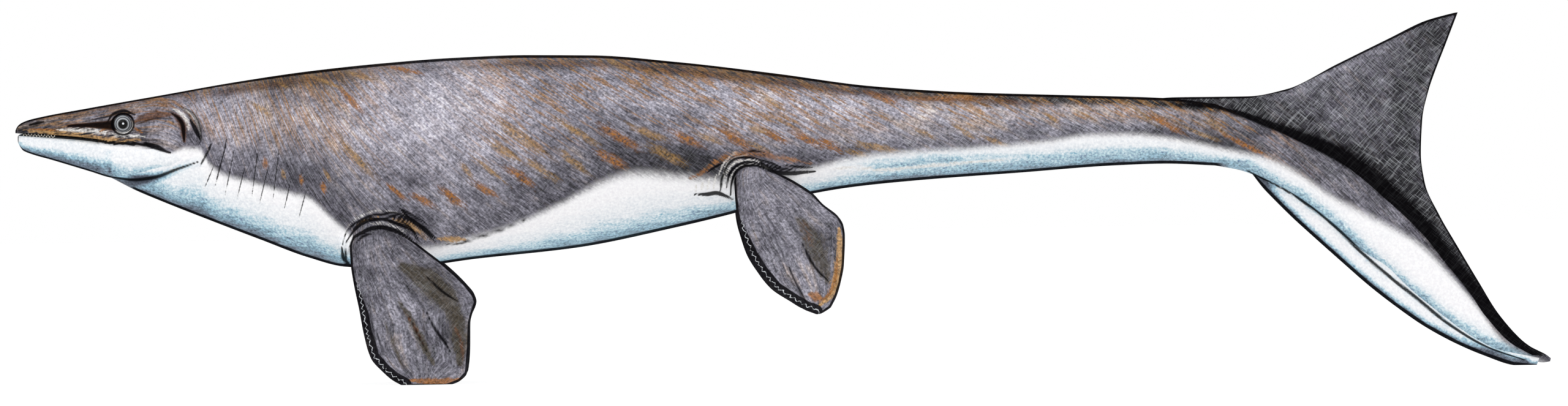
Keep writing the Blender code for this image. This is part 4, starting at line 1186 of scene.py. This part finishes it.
LOWER_FIN = [(4.46, 0.88, 4.43, 0.793), (4.52, 0.865, 4.478, 0.793), (4.64, 0.809, 4.559, 0.706),
             (4.77, 0.735, 4.657, 0.608), (4.86, 0.664, 4.746, 0.527), (4.95, 0.585, 4.836, 0.447),
             (5.06, 0.498, 4.938, 0.358), (5.14, 0.411, 5.028, 0.288), (5.24, 0.311, 5.140, 0.210),
             (5.33, 0.221, 5.260, 0.145), (5.42, 0.156, 5.359, 0.103), (5.51, 0.114, 5.461, 0.069),
             (5.56, 0.098, 5.546, 0.060)]
FIN_EDGE = 0.007
FIN_TIP_RAY = 8
FINS = {"upper_blade": (UPPER_FIN, 0.036, 120, 200), "lower_blade": (LOWER_FIN, 0.026, 64, 150)}


def fin_place(rays, root_thickness):
    ray_at = smooth_columns(rays)

    def place(share, c, s):
        x0, z0, x1, z1 = ray_at(share * (len(rays) - 1))
        reach = (c + 1) / 2
        thick = root_thickness + (FIN_EDGE - root_thickness) * reach
        return x0 + (x1 - x0) * reach, thick * s, z0 + (z1 - z0) * reach

    return place


BLADE_PLACES = {
    # Painted shade along the crease where the blade leaves the tail and at its root, and a painted highlight
    # along its front rim.
    "crease's shade": [(fade, "crease", 1.7, 0.4), (fade, "x", 4.35, 4.50)],
    "crease": [(around, "crease line", 0, 0.5), (fade, "x", 4.35, 4.50)],
    "root": [(around, "off crease", 0, 0.10)],
    "rear": [(fade, "rear", 0.24, 0.04)],
    "top": [(fade, "z", 1.15, 1.30)],
    "front rim": [(around, "front", 0.022, 0.014), (fade, "x", 4.4, 4.6)],
    "rear rim": [(around, "rear", 0.012, 0.008)],
    "upper edge": [(fade, "rim", 0.009, 0.004)],
    "lower edge": [(fade, "rim", 0.016, 0.006)],
    "lower rim": [(fade, "rim", 0.045, 0.004)],
    "keel crease": [(around, "keel crease", 0, 0.016)],
}
CREASE_LINE, SHADE_REACH, SHADE_GROWS, GROWTH = 0.006, 0.014, 0.050, (4.45, 5.00)
UPPER_TONE = {"root": -0.36, "rear": -0.24, "top": -0.10, "front rim": 0.16, "rear rim": 0.10}
UPPER_START = {"tone": 0.28, "hatch": 0.21, "warm": 0.05}
UPPER_CREASE_SHADE, UPPER_EDGE = {"crease's shade": 0.56, "crease": 0.50}, {"upper edge": FULL_INK}
# The lower blade's white greys with painted shade towards its rim and the keel's crease.
LOWER_DEEP, LOWER_EDGE = {"lower rim": 0.75, "keel crease": 0.35}, {"lower edge": FULL_INK}
LOWER_CREASE = 0.006
LOWER_START = {"deep": 0.25, "hatch": 0.1}


def on_blade(x, z, rim):
    """The places on the two blades, all measured alike."""
    above = (z - fin_crease(x)) * CREASE_SLOPE
    reach = SHADE_REACH + SHADE_GROWS * fade(x, *GROWTH)
    edges = [ray[2:] for ray in UPPER_FIN]
    front, rear = edges[: FIN_TIP_RAY + 1], edges[FIN_TIP_RAY:]
    return marked_out(BLADE_PLACES, {
        "x": x, "z": z, "rim": rim, "off crease": above, "crease": above / reach,
        "crease line": (above - CREASE_LINE) / reach, "front": nearest(x, z, front)[0],
        "rear": nearest(x, z, rear)[0], "keel crease": nearest(x, z, KEEL_CREASE)[0],
    })


def blade_fields(x, z, rim, upper):
    places, start = on_blade(x, z, rim), UPPER_START if upper else LOWER_START
    made = {title: np.full(len(x), value) for title, value in start.items()}
    made["above"] = np.full(len(x), ALL_SLATE if upper else ALL_WHITE)
    if upper:
        made["tone"] = total(places, UPPER_TONE, made["tone"])
        made["ink"] = strongest(places, UPPER_EDGE, total(places, UPPER_CREASE_SHADE))
    else:
        made["deep"] = total(places, LOWER_DEEP, made["deep"])
        made["ink"] = strongest(places, LOWER_EDGE, stroke(x, z, KEEL_CREASE, LOWER_CREASE))
    return made


for name, (rays, root, sides, rings) in FINS.items():
    fin = unit_tube(sides, rings)
    mould(fin, fin_place(rays, root))
    x, y, z = points_of(fin)
    rim = nearest(x, z, [ray[2:] for ray in rays])[0]
    fields = blade_fields(x, z, rim, name == "upper_blade")
    fields["side"] = np.column_stack([x, y, z])
    fields["flow"] = np.column_stack([x, y, flow_height(x, z)])
    finish_piece(fin, name, plain_hide, fields, [])

# %% [markdown]
# ## The flippers
#
# A flipper is a hand inside a mitten of skin: flat, thicker in front, and fanned by the long
# rows of finger bones, which show as low ribs. Its leading edge is nearly black, with a fine
# pale zigzag where the skin is creased, and its trailing half is olive.

# %% The shape of a flipper
FORE_FRONT = [(0.62, 1.245), (0.57, 1.230), (0.50, 1.222), (0.43, 1.227), (0.375, 1.236),
              (0.275, 1.258), (0.185, 1.276), (0.098, 1.303), (0.049, 1.347), (0.020, 1.382),
              (0.0, 1.420)]
FORE_REAR = [(0.62, 1.385), (0.57, 1.405), (0.54, 1.430), (0.50, 1.480), (0.44, 1.560),
             (0.40, 1.606), (0.366, 1.640), (0.326, 1.672), (0.299, 1.680), (0.253, 1.664),
             (0.22, 1.657), (0.139, 1.656), (0.045, 1.648), (0.018, 1.622), (0.0, 1.575)]
HIND_FRONT = [(0.83, 2.640), (0.764, 2.618), (0.690, 2.621), (0.599, 2.630), (0.532, 2.648),
              (0.471, 2.670), (0.409, 2.708), (0.344, 2.762), (0.299, 2.831), (0.275, 2.872),
              (0.264, 2.905)]
HIND_REAR = [(0.83, 2.735), (0.782, 2.752), (0.735, 2.840), (0.695, 2.903), (0.655, 2.941),
             (0.612, 2.994), (0.581, 3.012), (0.545, 3.017), (0.436, 3.012), (0.371, 2.999),
             (0.326, 2.985), (0.284, 2.963), (0.264, 2.935)]
FORE_THICKNESS = [(0.62, 0.066), (0.50, 0.055), (0.375, 0.036), (0.185, 0.020), (0.0, 0.012)]
HIND_THICKNESS = [(0.83, 0.056), (0.735, 0.048), (0.60, 0.032), (0.41, 0.018), (0.264, 0.009)]
BLADE_TAPER, TIP_CROWDING = 0.35, 1.25
FLIPPER_SIDES, FLIPPER_RINGS = 120, 150


def flipper_place(front_line, rear_line, thickness_line, splay, root_out, side):
    front, rear, thickness = map(smooth_line, (front_line, rear_line, thickness_line))
    root_z, tip_z = front_line[0][0], front_line[-1][0]

    def place(share, c, s):
        z = root_z + (tip_z - root_z) * (1 - (1 - share) ** TIP_CROWDING)
        middle, half_chord = (front(z) + rear(z)) / 2, (rear(z) - front(z)) / 2
        offset = thickness(z) * s * (1 - BLADE_TAPER * c)
        out = root_out + (root_z - z) * tan(splay) + offset * cos(splay)
        return middle + half_chord * c, side * out, z + offset * sin(splay)

    return place


# %% The markings of the fore and hind flippers, in the side view
FORE_MARKS = {
    "olive": [([(1.415, 0.430), (1.500, 0.380), (1.575, 0.310), (1.620, 0.240)], 0.052, 0.95),
              ([(1.560, 0.300), (1.620, 0.210), (1.625, 0.080)], 0.034, 0.90),
              ([(1.405, 0.300), (1.449, 0.231), (1.484, 0.164), (1.530, 0.075)], 0.015, 1.0),
              ([(1.350, 0.240), (1.390, 0.140), (1.420, 0.060)], 0.010, 0.55)],
    "umber": [([(1.417, 0.270), (1.455, 0.220), (1.490, 0.150)], 0.008, 0.6),
              ([(1.600, 0.220), (1.632, 0.150), (1.636, 0.090)], 0.010, 0.55)],
    "ink": [([(1.500, 0.395), (1.560, 0.340), (1.617, 0.301)], 0.007, 0.70),
            ([(1.497, 0.275), (1.537, 0.200), (1.572, 0.151), (1.594, 0.116)], 0.007, 0.75),
            ([(1.440, 0.250), (1.475, 0.180), (1.512, 0.110)], 0.006, 0.60),
            ([(1.325, 0.188), (1.340, 0.140), (1.356, 0.094)], 0.006, 0.60),
            ([(1.290, 0.330), (1.305, 0.230), (1.330, 0.120)], 0.007, 0.45)],
    "rust": [([(1.445, 0.020), (1.540, 0.014), (1.628, 0.024)], 0.011, 1.2)],
}
HIND_MARKS = {
    "olive": [([(2.855, 0.600), (2.905, 0.520), (2.935, 0.430), (2.955, 0.380)], 0.048, 0.66)],
    "umber": [([(2.860, 0.600), (2.900, 0.500)], 0.018, 0.4)],
    "ink": [([(2.860, 0.520), (2.900, 0.440), (2.958, 0.375)], 0.007, 0.70),
            ([(2.815, 0.430), (2.840, 0.370), (2.880, 0.295)], 0.007, 0.65),
            ([(2.730, 0.600), (2.790, 0.480), (2.830, 0.380)], 0.007, 0.45)],
    "rust": [([(2.990, 0.470), (2.985, 0.400), (2.958, 0.330), (2.920, 0.300)], 0.008, 0.8),
             ([(2.890, 0.330), (2.930, 0.315)], 0.018, 1.0)],
    "tan": [([(2.998, 0.570), (3.000, 0.480), (2.990, 0.400), (2.968, 0.330), (2.925, 0.292)], 0.017, 0.9)],
}
FLIPPERS = {
    "fore": (FORE_FRONT, FORE_REAR, FORE_THICKNESS, radians(36), 0.150, FORE_MARKS, 0.42),
    "hind": (HIND_FRONT, HIND_REAR, HIND_THICKNESS, radians(40), 0.115, HIND_MARKS, 0.46),
}
RIB_COUNT, RIB_HEIGHT, RIB_FADES, RIB_EDGE = 7, 0.0022, (0.30, 0.55), (0.02, 0.05)
DARK_RAYS, RAY_WIDTH = (0.27, 0.41, 0.57, 0.72, 0.86), 0.022  # where the long finger bones cast shade
BAND_START, BAND_FULL = 0.34, 0.62  # shares of the length over which the black leading edge widens
BAND_NARROW, BAND_WIDER, BAND_SOFT, BAND_INK = 0.006, 0.024, (0.006, -0.004), 1.15
TRAIL_LINE, SOLE_LINE = (0.008, 0.004), (0.010, 0.004)
FLOW_DOWN, FLOW_ACROSS = 0.6, 0.35
FLIPPER_HATCH, TINY = 0.08, 1e-6
FLIPPER_PLACES = {  # in shares of the way down and across
    "rows of bones": [(fade, "down", 0.35, 0.6)],
    "dark rays": [(fade, "down", 0.28, 0.45)],
    "tip": [(fade, "down", 0.70, 0.95)],
    "root": [(fade, "down", 0.30, 0.1)],
    "middle": [(around, "across", 0.45, 0.12)],
    "front": [(fade, "across", 0.30, 0.08)],
}
FLIPPER_TONE = {"rows of bones": 0.05, "dark rays": -0.24, "tip": 0.08, "root": -0.10, "middle": 0.06,
                "front": -0.10}


def flipper_tone(down, across):
    """Painted highlight on the ribs over the rows of finger bones, and dark rays of painted shade between
    them.
    """
    places = marked_out(FLIPPER_PLACES, {"down": down, "across": across})
    places["rows of bones"] *= np.cos(2 * pi * RIB_COUNT * across)
    places["dark rays"] *= sum(ridge(across - ray, RAY_WIDTH) for ray in DARK_RAYS)
    return total(places, FLIPPER_TONE)


def flipper_fields(x, y, z, front_line, rear_line, marks, tone):
    lead, arc, _ = nearest(x, z, [(px, pz) for pz, px in front_line])
    trail = nearest(x, z, [(px, pz) for pz, px in rear_line])[0]
    root_z, tip_z = front_line[0][0], front_line[-1][0]
    down = (root_z - z) / (root_z - tip_z)
    fan = lead / (lead + trail + TINY)
    band = BAND_NARROW + BAND_WIDER * fade(down, BAND_START, BAND_FULL)
    made = {title: strokes(x, z, table) for title, table in marks.items()}
    made["ink"] = np.maximum.reduce([
        made["ink"], strokes(x, z, GROOVE_SHADE_AND_INKS), BAND_INK * fade(lead, band + BAND_SOFT[0], band + BAND_SOFT[1]),
        FULL_INK * fade(trail, *TRAIL_LINE), FULL_INK * fade(z - tip_z, *SOLE_LINE)])
    made.update({
        "side": np.column_stack([x, y, z]),
        "flow": np.column_stack([down * FLOW_DOWN, y, fan * FLOW_ACROSS]),
        "above": np.full(len(x), ALL_SLATE),
        "tone": tone + flipper_tone(down, fan),
        "hatch": np.full(len(x), FLIPPER_HATCH),
        "lead": lead, "arc": arc, "down": down,
    })
    return made


# %% The zigzag along the leading edge
ZIGZAG_PITCH, ZIGZAG_SWING, ZIGZAG_IN = 0.024, 0.0045, 0.0140
ZIGZAG_SLOPE, ZIGZAG_LINE = -4 * ZIGZAG_SWING / ZIGZAG_PITCH, (0.00168, 0.00072)
ZIGZAG_REACH, ZIGZAG_BREAKS, ZIGZAG_COVER = (0.38, 0.44), (0.38, 0.50), (0.05, 0.7)
UNEVEN_ALONG, UNEVEN_ACROSS = 0.07, 0.012


def zigzag(tree, noises, colour):
    """A pale line whose distance from the edge swings to and fro along it."""
    along = sum_of(tree, noises, {"mottle": UNEVEN_ALONG}, field(tree, "arc"))
    swing = add(tree, "Math", {0: along, 1: ZIGZAG_PITCH / 2}, operation="PINGPONG")
    lead = sum_of(tree, noises, {"mottle": UNEVEN_ACROSS}, field(tree, "lead"))
    lead = add(tree, "Math", {0: lead, 1: UNEVEN_ACROSS / 2}, operation="SUBTRACT")
    swing = add(tree, "Math", {0: swing, 1: ZIGZAG_SLOPE, 2: lead}, operation="MULTIPLY_ADD")
    off = add(tree, "Math", {0: swing, 1: ZIGZAG_IN - ZIGZAG_SWING}, operation="SUBTRACT")
    off = add(tree, "Math", {0: off}, operation="ABSOLUTE")
    line = times(tree, between(tree, off, ZIGZAG_LINE), between(tree, field(tree, "down"), ZIGZAG_REACH))
    faint, full = ZIGZAG_COVER
    line = times(tree, line, between(tree, noises["grain"], ZIGZAG_BREAKS, To_Min=faint, To_Max=full))
    return mix(tree, line, colour, linear(CHALK))


flipper_hide, tree = new_material("moist dusky flipper hide")
noises = skin_noises(tree)
colour = slate(tree, noises)
for title, hex_colour, amount in PAINTS:
    colour = paint(tree, noises["hairs"], colour, title, hex_colour, amount)
colour = speckle_and_highlight_hatching(tree, noises, colour)
colour = paint(tree, noises["grain"], colour, "ink", BLACK, INK_COVER, INK_FRAY)
moist_shader(tree, noises, zigzag(tree, noises, colour))

# %% The four flippers
for name, (front_line, rear_line, thickness_line, splay, root_out, marks, tone) in FLIPPERS.items():
    for end, side in (("left", -1), ("right", 1)):
        flipper = unit_tube(FLIPPER_SIDES, FLIPPER_RINGS)
        mould(flipper, flipper_place(front_line, rear_line, thickness_line, splay, root_out, side))
        x, y, z = points_of(flipper)
        fields = flipper_fields(x, y, z, front_line, rear_line, marks, tone)
        flipper.normal_update()
        ribs = RIB_HEIGHT * np.cos(2 * pi * RIB_COUNT * fields["flow"][:, 2] / FLOW_ACROSS)
        ribs *= fade(fields["down"], *RIB_FADES) * fade(fields["lead"], *RIB_EDGE)
        for vertex, rib in zip(flipper.verts, ribs):
            vertex.co += vertex.normal * rib
        title, solids = f"{name}_flipper_skin_{end}", [f"{name}_flipper_{end}"]
        finish_piece(flipper, title, flipper_hide, fields, solids)

# %% [markdown]
# ## The eyes and the teeth
#
# A reptile's eye is a wet ball in a tight ring of lids: black pupil, a pale grey iris with a
# dark border, and a white dot painted on as its highlight. The teeth are small cones whose tips
# just show between the lips.

# %% Eyes
IRIS_RINGS = [(0.40, "020203"), (0.45, "6f7276"), (0.55, "b8bbbf"), (0.59, "2b2c30"), (0.64, "4a4d52"),
              (0.70, "a0a4a9"), (0.80, "4a4d52")]
RING_SPAN, EYE_AROUND, EYE_RINGS = 0.040, 48, 32
GLINT_AT, GLINT_RADIUS, GLINT_CORE = (0.001, 0.002), 0.0046, 0.6
WET_EYE = {"Roughness": 0.15, "IOR": 1.376, "Specular IOR Level": 0.2,
           "Coat Weight": 0.1, "Coat Roughness": 0.03}


def distance_in_side_view(tree, x, z):
    offset = {0: field(tree, "side", "Vector"), 1: (1, 0, 1), 2: (-x, 0, -z)}
    offset = add(tree, "VectorMath", offset, operation="MULTIPLY_ADD")
    return add(tree, "VectorMath", {0: offset}, operation="LENGTH").outputs["Value"]


wet_eye, tree = new_material("wet eyeball")
share = {0: distance_in_side_view(tree, EYE.x, EYE.z), 1: RING_SPAN}
rings = add(tree, "ValToRGB", {"Fac": add(tree, "Math", share, operation="DIVIDE")})
for end in (0, -1):
    rings.color_ramp.elements[end].position = IRIS_RINGS[end][0]
for ring, _ in IRIS_RINGS[1:-1]:
    rings.color_ramp.elements.new(ring)
for element, (_, hex_colour) in zip(rings.color_ramp.elements, IRIS_RINGS):
    element.color = linear(hex_colour)
# A painted highlight: a white dot on the eye where a lamp's glint would show.
glint = distance_in_side_view(tree, EYE.x + GLINT_AT[0], EYE.z + GLINT_AT[1])
glint = between(tree, glint, (GLINT_RADIUS, GLINT_CORE * GLINT_RADIUS))
colour = mix(tree, glint, rings, linear(CHALK))
add(tree, "OutputMaterial", {"Surface": add(tree, "BsdfPrincipled", {"Base Color": colour, **WET_EYE})})
for end, side in (("left", -1), ("right", 1)):
    eye = bmesh.new()
    bmesh.ops.create_uvsphere(eye, u_segments=EYE_AROUND, v_segments=EYE_RINGS, radius=EYE_RADIUS)
    out = float(half_width(EYE.x)) + EYE_PROUD - EYE_RADIUS
    bmesh.ops.translate(eye, verts=eye.verts, vec=(EYE.x, side * out, EYE.z))
    finish_piece(eye, f"eyeball_{end}", wet_eye, {"side": points_of(eye).T}, [f"eye_{end}"])

# %% Teeth
TOOTH_PITCH, TOOTH_HEIGHT, TOOTH_RADIUS, TOOTH_SIDES = 0.0120, 0.0068, 0.0019, 8
TOOTH_TIP, TOOTH_SUNK, BEHIND_LIP, FURTHER_IN = 0.0006, 0.002, 0.0045, 0.001
FIRST_TOOTH, LAST_TOOTH = 0.030, 0.15
ENAMEL, ENAMEL_GLOSS = ["cfc8b8", "f1ede2"], {"Roughness": 0.3, "IOR": 1.62}
ENAMEL_MOTTLE = {"Scale": 120.0, "Detail": 2.0}

tooth_enamel, tree = new_material("ivory tooth enamel")
mottle = add(tree, "TexNoise", {"Vector": add(tree, "TexCoord").outputs["Object"], **ENAMEL_MOTTLE})
colour = mix(tree, mottle, linear(ENAMEL[0]), linear(ENAMEL[1]))
add(tree, "OutputMaterial", {"Surface": add(tree, "BsdfPrincipled", {"Base Color": colour, **ENAMEL_GLOSS})})
for name, way in (("lower_teeth", 1), ("upper_teeth", -1)):
    teeth = bmesh.new()
    first = FIRST_TOOTH if way > 0 else FIRST_TOOTH + TOOTH_PITCH / 2  # one row stands between the other
    inset = BEHIND_LIP if way > 0 else BEHIND_LIP + FURTHER_IN
    radii = (TOOTH_RADIUS, TOOTH_TIP) if way > 0 else (TOOTH_TIP, TOOTH_RADIUS)
    cone = {"cap_ends": True, "segments": TOOTH_SIDES, "radius1": radii[0], "radius2": radii[1]}
    for place in np.arange(first, LAST_TOOTH, TOOTH_PITCH):
        gum = float(jaw_top(place)) if way > 0 else float(underside(place))
        middle = gum + way * (TOOTH_HEIGHT / 2 - TOOTH_SUNK)
        out = min(float(jaw_width(place)), float(half_width(place))) - inset
        for side in (-1, 1):
            at = Matrix.Translation((place, side * out, middle))
            bmesh.ops.create_cone(teeth, depth=TOOTH_HEIGHT, matrix=at, **cone)
    finish_piece(teeth, name, tooth_enamel, {}, [])

# %% The box of the solids, and the end
print("box of the solids: ", [[round(v, 4) for v in corner] for corner in cad_box])
